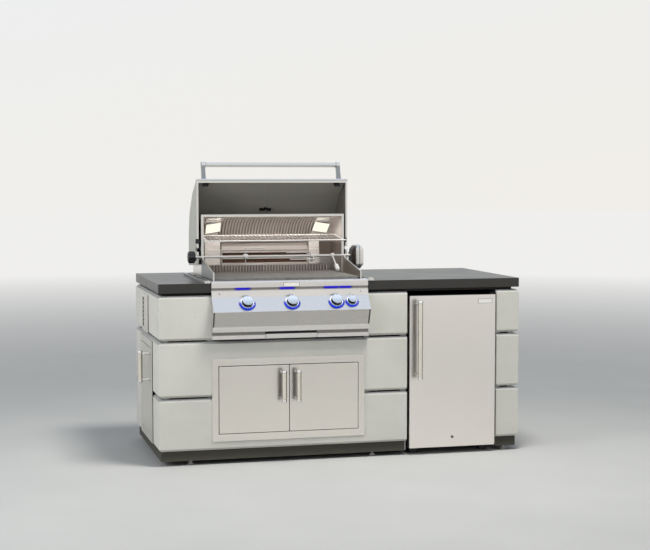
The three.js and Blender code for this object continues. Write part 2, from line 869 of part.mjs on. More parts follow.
// Fridge, built in its bay: cabinet on four legs, door on pins at its right edge
function fridgeCabinet(width) {
  const front = fridgeDoorThickness - fridgeDoorProud + fridgeGasketGap;
  const back = front + fridgeCabinetDepth;
  const inner = fridgeWall;
  const shell = block(0, width, front, back, fridgeBottom, fridgeBottom + fridgeHeight);
  const hollow = block(
    inner, width - inner, front - overrun, back - inner,
    fridgeBottom + inner, fridgeBottom + fridgeHeight - inner,
  );
  const legs = [];
  for (const x of [inner, width - inner - fridgeLegWidth]) {
    for (const y of [front + inner, back - inner - fridgeLegWidth]) {
      legs.push(block(x, x + fridgeLegWidth, y, y + fridgeLegWidth, 0, fridgeBottom + inner / 2));
    }
  }
  const ledgeTop = fridgeBottom + shelfHeight;
  const ledgeSpans = [[inner / 2, inner + shelfLedge], [width - inner - shelfLedge, width - inner / 2]];
  const ledges = ledgeSpans.map(([x0, x1]) => block(
    x0, x1, front + shelfSetback, back - inner, ledgeTop - shelfLedge, ledgeTop,
  ));
  const plates = [];
  const pinX = width - fridgePinInset;
  const pinY = fridgePinDepth - fridgeDoorProud;
  const plateHalf = fridgePinDiameter;
  const top = fridgeBottom + fridgeHeight;
  for (const z of [fridgeBottom - fridgePinLength, top + seatGap]) {
    const high = z + fridgePinLength - seatGap;
    plates.push(cut(
      block(pinX - plateHalf, pinX + plateHalf, pinY - plateHalf, front + inner, z, high),
      rod([pinX, pinY, z - overrun], [pinX, pinY, high + overrun], fridgePinDiameter / 2 + seatGap),
    ));
    const carrier = z < fridgeBottom ? [z, fridgeBottom + inner / 2] : [top - inner / 2, high];
    plates.push(block(pinX - plateHalf, pinX + plateHalf, front, front + inner, ...carrier));
  }
  const tabReach = fridgeSideGap - seatGap;
  const tabTop = top - fridgeTabDrop;
  const tabs = [[-tabReach, inner / 2], [width - inner / 2, width + tabReach]].map(([x0, x1]) => block(
    x0, x1, front, front + inner / 2, tabTop - fridgeTabHeight, tabTop,
  ));
  return join(cut(shell, hollow), ...legs, ...ledges, ...plates, ...tabs);
}

function fridgeShelf(width) {
  const front = fridgeDoorThickness - fridgeDoorProud + fridgeGasketGap;
  const x0 = fridgeWall + seatGap;
  const x1 = width - fridgeWall - seatGap;
  const y0 = front + shelfSetback;
  const y1 = front + fridgeCabinetDepth - fridgeWall - seatGap;
  const z0 = fridgeBottom + shelfHeight + seatGap;
  const half = shelfWire / 2;
  const bars = [];
  for (const y of [y0 + half, (y0 + y1) / 2, y1 - half]) {
    bars.push(block(x0, x1, y - half, y + half, z0, z0 + shelfWire));
  }
  const count = Math.floor((x1 - x0 - shelfWire) / shelfPitch);
  for (let index = 0; index <= count; index += 1) {
    const x = x0 + ((x1 - x0 - shelfWire) * index) / count;
    bars.push(block(x, x + shelfWire, y0, y1, z0 + half, z0 + half + shelfWire));
  }
  return join(...bars);
}

function fridgeDoor(width) {
  const x0 = fridgePinInset - width;
  const x1 = fridgePinInset;
  const y0 = -fridgePinDepth;
  const slab = block(x0, x1, y0, y0 + fridgeDoorThickness, 0, fridgeHeight);
  const pocket = block(
    x0 + fridgeDoorRim, x1 - fridgeDoorRim, y0 + fridgeDoorSheet, y0 + fridgeDoorThickness + overrun,
    fridgeDoorRim, fridgeHeight - fridgeDoorRim,
  );
  const lockX = (x0 + x1) / 2;
  const lockBoss = rod([lockX, y0, lockHeight], [lockX, y0 + lockDepth, lockHeight], lockDiameter);
  const lockHole = rod(
    [lockX, y0 - overrun, lockHeight],
    [lockX, y0 + lockDepth + overrun, lockHeight],
    lockDiameter / 2 + seatGap,
  );
  const pin = fridgePinDiameter / 2;
  const pins = [
    rod([0, 0, seatGap - fridgePinLength], [0, 0, fridgeDoorRim], pin),
    rod([0, 0, fridgeHeight - fridgeDoorRim], [0, 0, fridgeHeight + fridgePinLength - seatGap], pin),
  ];
  return join(cut(join(cut(slab, pocket), lockBoss), lockHole), ...pins);
}

// Lock barrel with a key slot, its axis along Y and its face at the origin
function fridgeLock() {
  const radius = lockDiameter / 2;
  const barrel = rod([0, 0, 0], [0, lockProud + lockDepth - seatGap, 0], radius);
  const slot = block(-lockProud / 4, lockProud / 4, -overrun, lockProud, -radius / 2, radius / 2);
  return cut(barrel, slot);
}

function fridge() {
  const width = fridgeBayWidth - 2 * fridgeSideGap;
  const cabinet = piece("fridge_cabinet", fridgeCabinet(width), "blackPlastic");
  const shelf = piece("fridge_shelf", fridgeShelf(width), "polished");
  const door = piece("fridge_door", fridgeDoor(width), "stainless");
  const bar = barHandle(fridgeHandleLength, fridgeHandleDiameter, fridgeHandlePostInset);
  const handle = piece("fridge_handle", bar, "stainless");
  const handleBottom = fridgeHeight - fridgeHandleDrop - fridgeHandleLength;
  handle.position.set(fridgePinInset - width + fridgeHandleInset, -fridgePinDepth, handleBottom);
  const lock = piece("fridge_lock", fridgeLock(), "polished");
  lock.position.set(fridgePinInset - width / 2, -fridgePinDepth - lockProud, lockHeight);
  const hung = groupAt(
    width - fridgePinInset, fridgePinDepth - fridgeDoorProud, fridgeBottom, door, handle, lock,
  );
  return groupAt(bayLeft + fridgeSideGap, 0, 0, cabinet, shelf, hung);
}

// Both copies of something that stands on either side of the grill's centre
function bothSides(make) {
  return [make(-1), make(1)];
}

function sideBlock(side, inner, outer, ...rest) {
  return side > 0 ? block(inner, outer, ...rest) : block(-outer, -inner, ...rest);
}

// Firebox: the tub, its guards above the counter, the flanges and hanger rails that lie
// on the counter, the ledges inside, and the runners of the drip tray underneath
function firebox() {
  const front = fireboxFront;
  const wall = fireboxWall;
  const guardEnd = housingFront - seatGap;
  const guardTop = counterTop + guardFrontHeight;
  const tub = block(-fireboxHalfWidth, fireboxHalfWidth, front, fireboxBack, fireboxBottom, fireboxTop);
  const guardOutline = [
    [front, counterTop], [guardEnd, counterTop], [guardEnd, guardTop + guardRise], [front, guardTop],
  ];
  const saddleFront = spitY - saddleLength / 2;
  const saddleOutline = [
    [saddleFront, counterTop],
    [saddleFront + saddleLength, counterTop],
    [saddleFront + saddleLength, spitZ],
    [saddleFront, spitZ],
  ];
  const outside = join(
    tub,
    prismX(guardOutline, -fireboxHalfWidth, fireboxHalfWidth),
    cut(
      prismX(saddleOutline, -fireboxHalfWidth, fireboxHalfWidth),
      block(-halfWidth, halfWidth, guardEnd, guardEnd + saddleLength, counterTop, spitZ + overrun),
    ),
  );
  const inside = block(
    -fireboxInner, fireboxInner, front + wall, fireboxBack - wall, fireboxBottom + wall, spitZ + overrun,
  );
  const openFront = block(
    -fireboxInner, fireboxInner, front - overrun, front + wall + overrun, fireboxTop, spitZ + overrun,
  );
  const cradle = rod([-halfWidth, spitY, spitZ], [halfWidth, spitY, spitZ], spitRadius + seatGap);
  const outlet = block(
    -outletWidth / 2, outletWidth / 2, outletFront, outletFront + outletLength,
    fireboxBottom - overrun, fireboxBottom + wall + overrun,
  );
  const seat = grateTop - 2 * grateBar - seatGap;
  const deckBack = pivotY + linerRadius - seatGap;
  const half = wall / 2;
  const across = (inset, ...rest) => block(inset - fireboxInner, fireboxInner - inset, ...rest);
  const ledges = [
    across(-half, front + half, front + wall + ledgeWidth, seat - wall, seat),
    across(-half, deckFront, fireboxBack - half, seat - deckThickness, fireboxTop),
    across(seatGap, deckFront, deckBack, seat - deckThickness, seat),
  ];
  const tamerSeat = tamerTop - tamerHeight - tamerRail - seatGap;
  const flangeBottom = counterTop + seatGap;
  const runnerInner = trayHalfWidth + trayRimInset + trayRunnerGap;
  const runnerOuter = runnerInner + runnerWall;
  const runnerFoot = fireboxBottom - runnerDrop;
  const extras = bothSides((side) => join(
    sideBlock(
      side, fireboxInner - ledgeWidth, fireboxInner + half, front + half, deckFront,
      tamerSeat - wall, tamerSeat,
    ),
    sideBlock(side, fireboxHalfWidth - half, railOuter, front, fireboxBack, flangeBottom, fireboxTop),
    sideBlock(side, railInner, railOuter, railFront, fireboxBack, flangeBottom, railTop),
    sideBlock(side, runnerInner, runnerOuter, runnerFront, trayBack, runnerFoot, fireboxBottom + half),
    sideBlock(
      side, runnerOuter - runnerLedge, runnerOuter, runnerFront, trayBack,
      runnerFoot, runnerFoot + traySheet,
    ),
  ));
  return join(cut(outside, inside, openFront, cradle, outlet), ...ledges, ...extras);
}

// The line that the rear housing's back follows, out to a radius about the pivot
function housingProfile(radius, front, bottom) {
  const lift = Math.sqrt(radius ** 2 - (pivotY - front) ** 2);
  const top = THREE.MathUtils.radToDeg(Math.atan2(lift, front - pivotY));
  const back = arc([pivotY, pivotZ], radius, 0, top, housingSteps);
  return [[front, bottom], [pivotY + radius, bottom], ...back];
}

// Rear housing: a curved back between two side walls, a frame round its mouth, the pins
// that the hood turns on, and the lugs that carry the warming rack
function rearHousing() {
  const half = fireboxHalfWidth;
  const inner = half - housingSideWall;
  const shell = prismX(housingProfile(housingRadius, housingFront, housingBottom), -half, half);
  const mouth = housingFront + housingFlangeThickness;
  const hollow = prismX(housingProfile(linerRadius, mouth, housingBottom - overrun), -inner, inner);
  const flangeTop = pivotZ + Math.sqrt(housingRadius ** 2 - (pivotY - housingFront) ** 2) - housingFlange;
  const window = block(
    -half + housingFlange, half - housingFlange, housingFront - overrun, mouth + overrun,
    housingBottom - overrun, flangeTop,
  );
  const headInner = hoodHalfWidth + seatGap;
  const extras = bothSides((side) => join(
    rod([side * inner, pivotY, pivotZ], [side * (headInner + seatGap), pivotY, pivotZ], pinRadius),
    rod(
      [side * headInner, pivotY, pivotZ],
      [side * (headInner + pinHeadThickness), pivotY, pivotZ], pinHeadRadius,
    ),
    sideBlock(
      side, inner - rackLugWidth, inner + housingSideWall / 2,
      rackBack, rackBack + rackLugLength,
      counterTop + rackBackRise - rackRail / 2 - seatGap - rackLugThickness,
      counterTop + rackBackRise - rackRail / 2 - seatGap,
    ),
  ));
  return join(cut(shell, hollow, window), ...extras);
}

// The outer line of the control panel from the back of its ledge to its lower edge
function consoleLine() {
  const secondTop = consoleTop - topBandHeight - lightGrooveHeight;
  const slopeTop = secondTop - secondBandHeight;
  const slopeFoot = slopeTop - slopeDrop;
  const stripTop = slopeFoot - slopeLip - faceDrop;
  const slotTop = stripTop - stripHeight;
  const bandTop = slotTop - slotHeight;
  const bandFoot = bandTop - bottomBandHeight;
  return [
    [fireboxFront - seatGap, consoleTop],
    [-bandProud, consoleTop],
    [-bandProud, consoleTop - topBandHeight],
    [lightGrooveDepth - bandProud, consoleTop - topBandHeight],
    [lightGrooveDepth - bandProud, secondTop],
    [-bandProud, secondTop],
    [-secondBandProud, slopeTop],
    [-secondBandProud - slopeRun, slopeFoot],
    [slopeLip - secondBandProud - slopeRun, slopeFoot - slopeLip],
    [-stripProud, stripTop],
    [-stripProud, slotTop],
    [-slotProud, slotTop],
    [-slotProud, bandTop],
    [-bottomBandProud, bandTop],
    [-bottomBandProud, bandFoot],
    [-seatGap, bandFoot],
  ];
}

// Where a knob's axis meets the slope, and how far the slope leans back from level
function slopeSeat() {
  const slopeTop = consoleTop - topBandHeight - lightGrooveHeight - secondBandHeight;
  return {
    y: -secondBandProud - slopeRun * knobSlopeShare,
    z: slopeTop - slopeDrop * knobSlopeShare,
    lean: Math.atan2(slopeDrop, slopeRun),
  };
}

function knobSeats() {
  const large = knobPlaces.map((x) => ({ x, outer: bezelOuter, inner: bezelInner }));
  return [...large, { x: smallKnobPlace, outer: smallBezelOuter, inner: smallBezelInner }];
}

// A shape built upright on the origin, set square on the slope at a knob's place
function onSlope(solid, x) {
  const { y, z, lean } = slopeSeat();
  return solid.rotate([THREE.MathUtils.radToDeg(lean), 0, 0]).translate([x, y, z]);
}

function bezel(inner, outer) {
  const shoulder = (outer - inner) / 4;
  return turned([
    [inner / 2, -consoleSheet / 2],
    [outer / 2, -consoleSheet / 2],
    [outer / 2, bezelHeight / 4],
    [outer / 2 - shoulder, bezelHeight],
    [inner / 2 + shoulder / 4, bezelHeight],
    [inner / 2, bezelHeight / 2],
    [inner / 2, -consoleSheet / 2],
  ]);
}

// Control panel: a folded sheet between two end plates, with a bezel ring and a stem
// hole for each knob, and a gap at the foot for the drip tray's front
function controlPanel() {
  const line = consoleLine();
  const half = consoleHalfWidth;
  const sheet = prismX(sheetOutline([...line].reverse(), consoleSheet), -half, half);
  const endBottom = counterTop + seatGap;
  const endOutline = [...line, [-seatGap, endBottom], [fireboxFront - seatGap, endBottom]];
  const ends = [-half, half - consoleSheet].map((x0) => prismX(endOutline, x0, x0 + consoleSheet));
  const foot = line.at(-1)[1];
  const slotTop = foot + bottomBandHeight + slotHeight;
  const trayGap = block(
    -trayHalfWidth - trayFrontGap, trayHalfWidth + trayFrontGap, -stripProud + consoleSheet + seatGap, 0,
    foot - overrun, slotTop - consoleSheet,
  );
  const bezels = knobSeats().map(({ x, inner, outer }) => onSlope(bezel(inner, outer), x));
  const holes = knobSeats().map(({ x }) => onSlope(
    rod([0, 0, -overrun], [0, 0, overrun], knobHoleDiameter / 2), x,
  ));
  return cut(join(sheet, ...ends, ...bezels), trayGap, ...holes);
}

// A knob stands on the origin with its axis along Z and its hub below
function knob(baseDiameter, capDiameter, height) {
  const base = baseDiameter / 2;
  const cap = capDiameter / 2;
  const waist = cap * knobWaistShare;
  const hub = knobHubDiameter / 2;
  const [capStart, capFull, capEnd] = knobCapShares.map((share) => share * height);
  return turned([
    [0, -knobHubLength], [hub, -knobHubLength], [hub, seatGap], [base, seatGap],
    [base, height * knobBaseShare], [waist, height * knobBaseShare],
    [waist, capStart], [cap, capFull], [cap, capEnd], [waist, height], [0, height],
  ]);
}

function knobs() {
  const { y, z, lean } = slopeSeat();
  return knobSeats().map(({ x }, index) => {
    const small = index === knobPlaces.length;
    const shape = small
      ? knob(smallKnobBaseDiameter, smallKnobCapDiameter, smallKnobHeight)
      : knob(knobBaseDiameter, knobCapDiameter, knobHeight);
    const mesh = piece(`knob_${index + 1}`, shape, "polished");
    mesh.position.set(x, y, z);
    mesh.rotation.x = lean;
    return mesh;
  });
}

// Gas manifold behind the panel: a pipe, a valve and stem up to each knob, and tabs on
// the firebox's front wall
function gasManifold() {
  const { y, z, lean } = slopeSeat();
  const pipeY = y + manifoldDepth * Math.sin(lean);
  const pipeZ = z - manifoldDepth * Math.cos(lean);
  const pipe = rod(
    [-manifoldHalfLength, pipeY, pipeZ], [manifoldHalfLength, pipeY, pipeZ], manifoldDiameter / 2,
  );
  const valveTop = -knobHubLength - knobHubDiameter;
  const valves = knobSeats().map(({ x }) => onSlope(join(
    rod([0, 0, -manifoldDepth], [0, 0, valveTop], valveDiameter / 2),
    rod([0, 0, valveTop - overrun], [0, 0, -knobHubLength - seatGap], stemDiameter / 2),
  ), x));
  const tabs = bothSides((side) => sideBlock(
    side, manifoldHalfLength - manifoldTabWidth, manifoldHalfLength,
    pipeY, fireboxFront - seatGap, pipeZ - manifoldTabThickness / 2, pipeZ + manifoldTabThickness / 2,
  ));
  return join(pipe, ...valves, ...tabs);
}

function cookingGrates() {
  const y0 = fireboxFront + fireboxWall + seatGap;
  const y1 = deckFront + ledgeWidth;
  const bars = [];
  const count = Math.floor((2 * grateHalfWidth - grateBar) / gratePitch);
  for (let index = 0; index <= count; index += 1) {
    const x = -grateHalfWidth + ((2 * grateHalfWidth - grateBar) * index) / count;
    bars.push(block(x, x + grateBar, y0, y1, grateTop - 3 * grateBar / 2, grateTop));
  }
  for (let index = 0; index < grateCrossCount; index += 1) {
    const y = y0 + ((y1 - y0 - grateBar) * index) / (grateCrossCount - 1);
    bars.push(block(
      -grateHalfWidth, grateHalfWidth, y, y + grateBar, grateTop - 2 * grateBar, grateTop - grateBar,
    ));
  }
  return join(...bars);
}

// Folded roofs over the burners on two cross rails
function flameTamers() {
  const y0 = fireboxFront + fireboxWall + tamerInset;
  const y1 = deckFront - tamerInset;
  const railTopHeight = tamerTop - tamerHeight;
  const roofs = knobPlaces.map((x) => prismY(sheetOutline(
    [[x - tamerHalfWidth, railTopHeight], [x, tamerTop], [x + tamerHalfWidth, railTopHeight]], tamerSheet,
  ), y0, y1));
  const rails = [y0, y1 - tamerRail].map((y) => block(
    seatGap - fireboxInner, fireboxInner - seatGap, y, y + tamerRail,
    railTopHeight - tamerRail, railTopHeight + tamerSheet,
  ));
  return join(...roofs, ...rails);
}

// Three burner tubes and the crossover tube that lights one from the next
function burnerSet() {
  const y0 = fireboxFront + fireboxWall + seatGap;
  const radius = burnerDiameter / 2;
  const tubes = knobPlaces.map((x) => rod(
    [x, y0, burnerLevel], [x, y0 + burnerLength, burnerLevel], radius,
  ));
  const crossY = y0 + burnerLength - burnerDiameter;
  const cross = rod(
    [seatGap - fireboxInner, crossY, burnerLevel], [fireboxInner - seatGap, crossY, burnerLevel],
    burnerCrossDiameter / 2,
  );
  return join(...tubes, cross);
}

// Warming rack: two rails joined by end wires and a zigzag of thin wire
function warmingRack() {
  const frontZ = counterTop + rackFrontRise;
  const backZ = counterTop + rackBackRise;
  const rail = rackRail / 2;
  const bars = [
    rod([-rackFrontHalfWidth, rackFront, frontZ], [rackFrontHalfWidth, rackFront, frontZ], rail, thinSides),
    rod([-rackHalfWidth, rackBack, backZ], [rackHalfWidth, rackBack, backZ], rail, thinSides),
  ];
  for (const x of [-rackHalfWidth + rail, rackHalfWidth - rail]) {
    bars.push(rod([x, rackFront, frontZ], [x, rackBack, backZ], rail, thinSides));
  }
  const pitch = (2 * (rackHalfWidth - rackRail)) / rackWireCount;
  for (let index = 0; index < rackWireCount; index += 1) {
    const x = -rackHalfWidth + rackRail + index * pitch;
    const start = index % 2 === 0 ? x : x + pitch;
    const end = index % 2 === 0 ? x + pitch : x;
    bars.push(rod([start, rackFront, frontZ], [end, rackBack, backZ], rackWire / 2, thinSides));
  }
  return join(...bars);
}

// Rear burner: a pan whose rim lies against the curved liner
function rearBurner() {
  const radius = linerRadius - seatGap;
  const rise = rearBurnerTop - pivotZ;
  const top = THREE.MathUtils.radToDeg(Math.asin(rise / radius));
  const body = prismX([
    [rearBurnerFront, rearBurnerBottom],
    [pivotY + radius, rearBurnerBottom],
    ...arc([pivotY, pivotZ], radius, 0, top, Math.ceil(arcSteps / 3)),
    [rearBurnerFront, rearBurnerTop],
  ], -rearBurnerHalfWidth, rearBurnerHalfWidth);
  const pocket = block(
    rearBurnerSheet - rearBurnerHalfWidth, rearBurnerHalfWidth - rearBurnerSheet,
    rearBurnerFront + rearBurnerSheet, pivotY + linerRadius,
    rearBurnerBottom + rearBurnerSheet, rearBurnerTop - rearBurnerSheet,
  );
  return cut(body, pocket);
}

// A lamp lies flat against the liner, its lens facing the pivot
function lamp() {
  const back = Math.sqrt((linerRadius - 2 * seatGap) ** 2 - (lampHeight / 2) ** 2);
  return block(-lampWidth / 2, lampWidth / 2, back - lampDepth, back, -lampHeight / 2, lampHeight / 2);
}

function lamps() {
  return [["lamp_left", -lampPlace], ["lamp_right", lampPlace]].map(([name, x]) => {
    const mesh = piece(name, lamp(), "lampGlass");
    mesh.position.set(x, pivotY, pivotZ);
    mesh.rotation.x = THREE.MathUtils.degToRad(lampAngle);
    return mesh;
  });
}

// The hood's outer line from its lip over the top and down its back
function hoodLine() {
  const shoulders = hoodShoulderYShares.map(
    (share, index) => [hoodBack * share, hoodLipHeight * hoodShoulderZShares[index]],
  );
  const lip = [-hoodFrontSetback, hoodLipHeight];
  return [lip, ...shoulders, [hoodBack, hoodBackRise], [hoodBack, -hoodBackFoot]];
}

// Hood shell about its pivot: a folded skin between two side plates, with the pin holes
// and the curved slots that let the hood close over the spit
function hoodShell() {
  const line = hoodLine();
  const half = hoodHalfWidth;
  const skin = prismX(sheetOutline(line, hoodWall), -half, half);
  const lip = prismX([
    [-hoodFrontSetback, hoodLipHeight],
    [-hoodFrontSetback, hoodLipHeight - lipReturn],
    [-hoodFrontSetback + hoodWall, hoodLipHeight - lipReturn],
    [-hoodFrontSetback + hoodWall, hoodLipHeight - hoodWall],
  ], -half, half);
  const sideOutline = [...line, [-hoodFrontSetback, -hoodFrontFoot]];
  const slotRadius = Math.hypot(spitForward, spitRise);
  const reach = spitRadius + spitSlotClearance;
  const restAngle = 180 - THREE.MathUtils.radToDeg(Math.atan2(spitRise, spitForward));
  const closedAngle = restAngle - hoodSwing;
  const slot = [
    ...arc([0, 0], slotRadius + reach, closedAngle, restAngle),
    ...arc([0, 0], slotRadius - reach, restAngle, closedAngle),
  ];
  const slotEnd = arc([0, 0], slotRadius, closedAngle, closedAngle)[0];
  const sides = bothSides((side) => {
    const x0 = Math.min(side * half, side * (half - hoodSideThickness));
    const x1 = x0 + hoodSideThickness;
    return cut(
      prismX(sideOutline, x0, x1),
      rod([x0 - overrun, 0, 0], [x1 + overrun, 0, 0], pinRadius + seatGap),
      prismX(slot, x0 - overrun, x1 + overrun),
      rod([x0 - overrun, ...slotEnd], [x1 + overrun, ...slotEnd], reach),
    );
  });
  return cut(join(skin, lip, ...sides), dialHole());
}

// The flat of the hood that carries a fitting: its upper corner, direction and normal
function hoodFlat(index) {
  const line = hoodLine();
  const start = new THREE.Vector2(...line[index]);
  const along = new THREE.Vector2(...line[index + 1]).sub(start).normalize();
  return { start, along, normal: new THREE.Vector2(-along.y, along.x), end: line[index + 1] };
}

// Thermometer place on the second flat of the hood, measured up from its lower corner
function dialPlacement() {
  const { along, normal, end } = hoodFlat(1);
  const centre = new THREE.Vector2(...end).addScaledVector(along, -dialPlace);
  return { centre, tilt: THREE.MathUtils.radToDeg(Math.atan2(-normal.x, normal.y)) };
}

function onDial(solid) {
  const { centre, tilt } = dialPlacement();
  return solid.rotate([tilt, 0, 0]).translate([0, centre.x, centre.y]);
}

function dialHole() {
  return onDial(rod([0, 0, -hoodWall - overrun], [0, 0, overrun], dialStemDiameter / 2 + seatGap));
}

// Thermometer: dial outside, stem through the skin, nut inside
function hoodThermometer() {
  const dial = dialDiameter / 2;
  const stem = dialStemDiameter / 2;
  const nut = dialNutDiameter / 2;
  const nutTop = -hoodWall - seatGap;
  const nutFoot = nutTop - dialNutThickness;
  return onDial(turned([
    [0, nutTop - dialStemLength], [stem, nutTop - dialStemLength],
    [stem, nutFoot], [nut, nutFoot], [nut, nutTop],
    [stem, nutTop], [stem, seatGap], [dial, seatGap], [dial, dialThickness / 2],
    [dial * knobWaistShare, dialThickness], [0, dialThickness],
  ]));
}

// Hood handle: a round bar between two curved horns near the lip
function hoodHandle() {
  const { start, along, normal } = hoodFlat(0);
  const at = (s, n) => start.clone().addScaledVector(along, s).addScaledVector(normal, n);
  const bar = at(hornOffset, hornStandoff);
  const heel = at(hornBaseStart + hornBaseLength, seatGap);
  const toe = at(hornBaseStart, seatGap);
  const outer = at(hornOffset + hornRadius, hornStandoff);
  const outerBend = at(hornOffset + hornRadius, hornStandoff / 3);
  const innerBend = at(hornBaseStart, hornStandoff / 2);
  const facing = Math.atan2(along.y, along.x);
  const horn = new THREE.Shape();
  horn.moveTo(toe.x, toe.y);
  horn.lineTo(heel.x, heel.y);
  horn.quadraticCurveTo(outerBend.x, outerBend.y, outer.x, outer.y);
  horn.absarc(bar.x, bar.y, hornRadius, facing, facing + Math.PI, false);
  horn.quadraticCurveTo(innerBend.x, innerBend.y, toe.x, toe.y);
  const inside = hornHalfSpan - hornThickness;
  const end = inside + hornThickness / 2;
  const grip = rod([-end, bar.x, bar.y], [end, bar.x, bar.y], hoodBarDiameter / 2);
  return join(grip, prismX(horn, -hornHalfSpan, -inside), prismX(horn, inside, hornHalfSpan));
}

// Rotisserie spit, modelled about its own axis
function spitRod() {
  return rod([seatGap - spitHandlePlace, 0, 0], [motorInner - seatGap, 0, 0], spitRadius);
}

function spitHandle() {
  const radius = spitHandleDiameter / 2;
  const waist = radius * knobWaistShare;
  const length = spitHandleLength;
  const round = length * spitHandleRoundShare;
  return turned([
    [0, 0], [waist, 0], [radius, round], [radius, length - round], [waist, length], [0, length],
  ]).rotate([0, -90, 0]).translate([-spitHandlePlace, 0, 0]);
}

// A fork: a clamped hub, a cross bar and two prongs that point along the rod
function spitFork(length, direction) {
  const hub = washer(spitRadius + seatGap, forkHubDiameter / 2, 0, forkHubLength).rotate([0, 90, 0]);
  const middle = forkHubLength / 2;
  const radius = forkProng / 2;
  const start = spitRadius + radius;
  const bars = bothSides((side) => {
    const line = side * (forkSpread - radius);
    return join(
      rod([middle, side * start, 0], [middle, side * forkSpread, 0], radius, thinSides),
      rod([middle - radius, line, 0], [middle + length, line, 0], radius, thinSides),
    );
  });
  const screwTop = forkHubDiameter / 2 + forkScrewLength;
  const screwHeadFoot = screwTop - forkScrewLength / 2;
  const screw = join(
    rod([middle, 0, start], [middle, 0, screwTop], forkScrewDiameter / 2, thinSides),
    rod([middle, 0, screwHeadFoot], [middle, 0, screwTop], forkScrewHead / 2, roundSides / 2),
  );
  const fork = join(hub, ...bars, screw);
  return direction > 0 ? fork : fork.rotate([0, 0, 180]);
}

// Counterbalance: a collar on the rod, an arm and a round weight that rests on the grate
function counterbalance() {
  const drop = spitZ - grateTop - seatGap - weightRadius;
  const reach = Math.sqrt(weightArm ** 2 - drop ** 2);
  const half = weightLength / 2;
  const collar = washer(spitRadius + seatGap, weightCollar / 2, 0, weightCollarLength).rotate([0, 90, 0]);
  const middle = weightCollarLength / 2;
  const tip = [middle, -reach, -drop];
  const rootShare = (spitRadius + seatGap + weightCollar / 2) / 2 / weightArm;
  const root = [middle, tip[1] * rootShare, tip[2] * rootShare];
  return join(
    collar,
    rod(root, tip, weightRod / 2, thinSides),
    rod([middle - half, -reach, -drop], [middle + half, -reach, -drop], weightRadius),
  );
}

function rotisserie() {
  const forks = forkPlaces.map((x, index) => {
    const direction = index === 0 ? 1 : -1;
    const name = index === 0 ? "spit_fork_left" : "spit_fork_right";
    const mesh = piece(name, spitFork(forkLengths[index], direction), "polished");
    mesh.position.set(x, 0, 0);
    mesh.rotation.x = THREE.MathUtils.degToRad(forkTurns[index]);
    return mesh;
  });
  const weight = piece("counterbalance", counterbalance(), "stainless");
  weight.position.set(weightPlace, 0, 0);
  const bar = piece("spit_rod", spitRod(), "polished");
  const handle = piece("spit_handle", spitHandle(), "blackPlastic");
  return groupAt(0, spitY, spitZ, bar, handle, ...forks, weight);
}

// Motor box on a bracket plate that stands on the right hanger rail
function rotisserieMotor() {
  const x0 = motorInner + motorBracket;
  const box = new THREE.Shape();
  const y1 = motorFront + motorDepth;
  const z1 = motorBottom + motorHeight;
  const corner = motorCorner;
  box.moveTo(motorFront + corner, motorBottom);
  box.lineTo(y1 - corner, motorBottom);
  box.absarc(y1 - corner, motorBottom + corner, corner, -Math.PI / 2, 0, false);
  box.absarc(y1 - corner, z1 - corner, corner, 0, Math.PI / 2, false);
  box.absarc(motorFront + corner, z1 - corner, corner, Math.PI / 2, Math.PI, false);
  box.absarc(motorFront + corner, motorBottom + corner, corner, Math.PI, 3 * Math.PI / 2, false);
  const plateTop = spitZ + motorCorner;
  const footBack = motorFootFront + motorFootLength;
  return join(
    prismX(box, x0, x0 + motorWidth),
    block(motorInner, x0 + seatGap, motorFootFront, footBack, railTop + seatGap, plateTop),
  );
}

// Drip tray: its front closes the gap in the panel's foot, its rim hangs in the runners
function dripTray() {
  const foot = consoleLine().at(-1)[1];
  const bandTop = foot + bottomBandHeight;
  const rimZ = fireboxBottom - runnerDrop + traySheet + seatGap;
  const rimTop = rimZ + traySheet;
  const panHalf = trayPanHalfWidth;
  const pan = block(-panHalf, panHalf, -bottomBandProud, trayBack, rimTop - trayHeight, rimTop);
  const hollow = block(
    traySheet - panHalf, panHalf - traySheet, trayPanFront, trayBack - traySheet,
    rimTop - trayHeight + traySheet, rimTop + overrun,
  );
  const fingerSlot = block(
    -trayHalfWidth, trayHalfWidth, -bottomBandProud - overrun, trayPanFront + overrun,
    bandTop, rimTop + overrun,
  );
  const front = block(
    -trayHalfWidth, trayHalfWidth, -bottomBandProud, -bottomBandProud + traySheet, foot, bandTop,
  );
  const rim = block(
    -trayHalfWidth - trayRimInset, trayHalfWidth + trayRimInset, runnerFront, trayBack, rimZ, rimTop,
  );
  return join(cut(join(pan, rim), hollow, fingerSlot), front);
}

function grill() {
  const hood = groupAt(
    0, pivotY, pivotZ,
    piece("hood_shell", hoodShell(), "stainless"),
    piece("hood_handle", hoodHandle(), "polished"),
    piece("hood_thermometer", hoodThermometer(), "polished"),
  );
  return groupAt(
    grillCentre, 0, 0,
    piece("firebox", firebox(), "stainless"),
    piece("rear_housing", rearHousing(), "liner"),
    piece("control_panel", controlPanel(), "stainless"),
    ...knobs(),
    piece("gas_manifold", gasManifold(), "brass"),
    piece("cooking_grates", cookingGrates(), "polished"),
    piece("flame_tamers", flameTamers(), "stainless"),
    piece("burner_set", burnerSet(), "castIron"),
    piece("warming_rack", warmingRack(), "polished"),
    piece("rear_burner", rearBurner(), "liner"),
    ...lamps(),
    hood,
    rotisserie(),
    piece("rotisserie_motor", rotisserieMotor(), "stainless"),
    piece("drip_tray", dripTray(), "stainless"),
  );
}

const island = new THREE.Group();
island.add(
  piece("countertop", countertop(), "slabStone"),
  piece("counter_subframe", counterSubframe(), "darkBoard"),
  piece("island_frame", islandFrame(), "frameMetal"),
  piece("plinth", plinth(), "plinthBoard"),
  ...levellingFeet(),
  ...cladding(),
  piece("side_vent_plate", sideVentPlate(), "stainless"),
  ...frontDoors(),
  sideDoor(),
  fridge(),
  grill(),
);

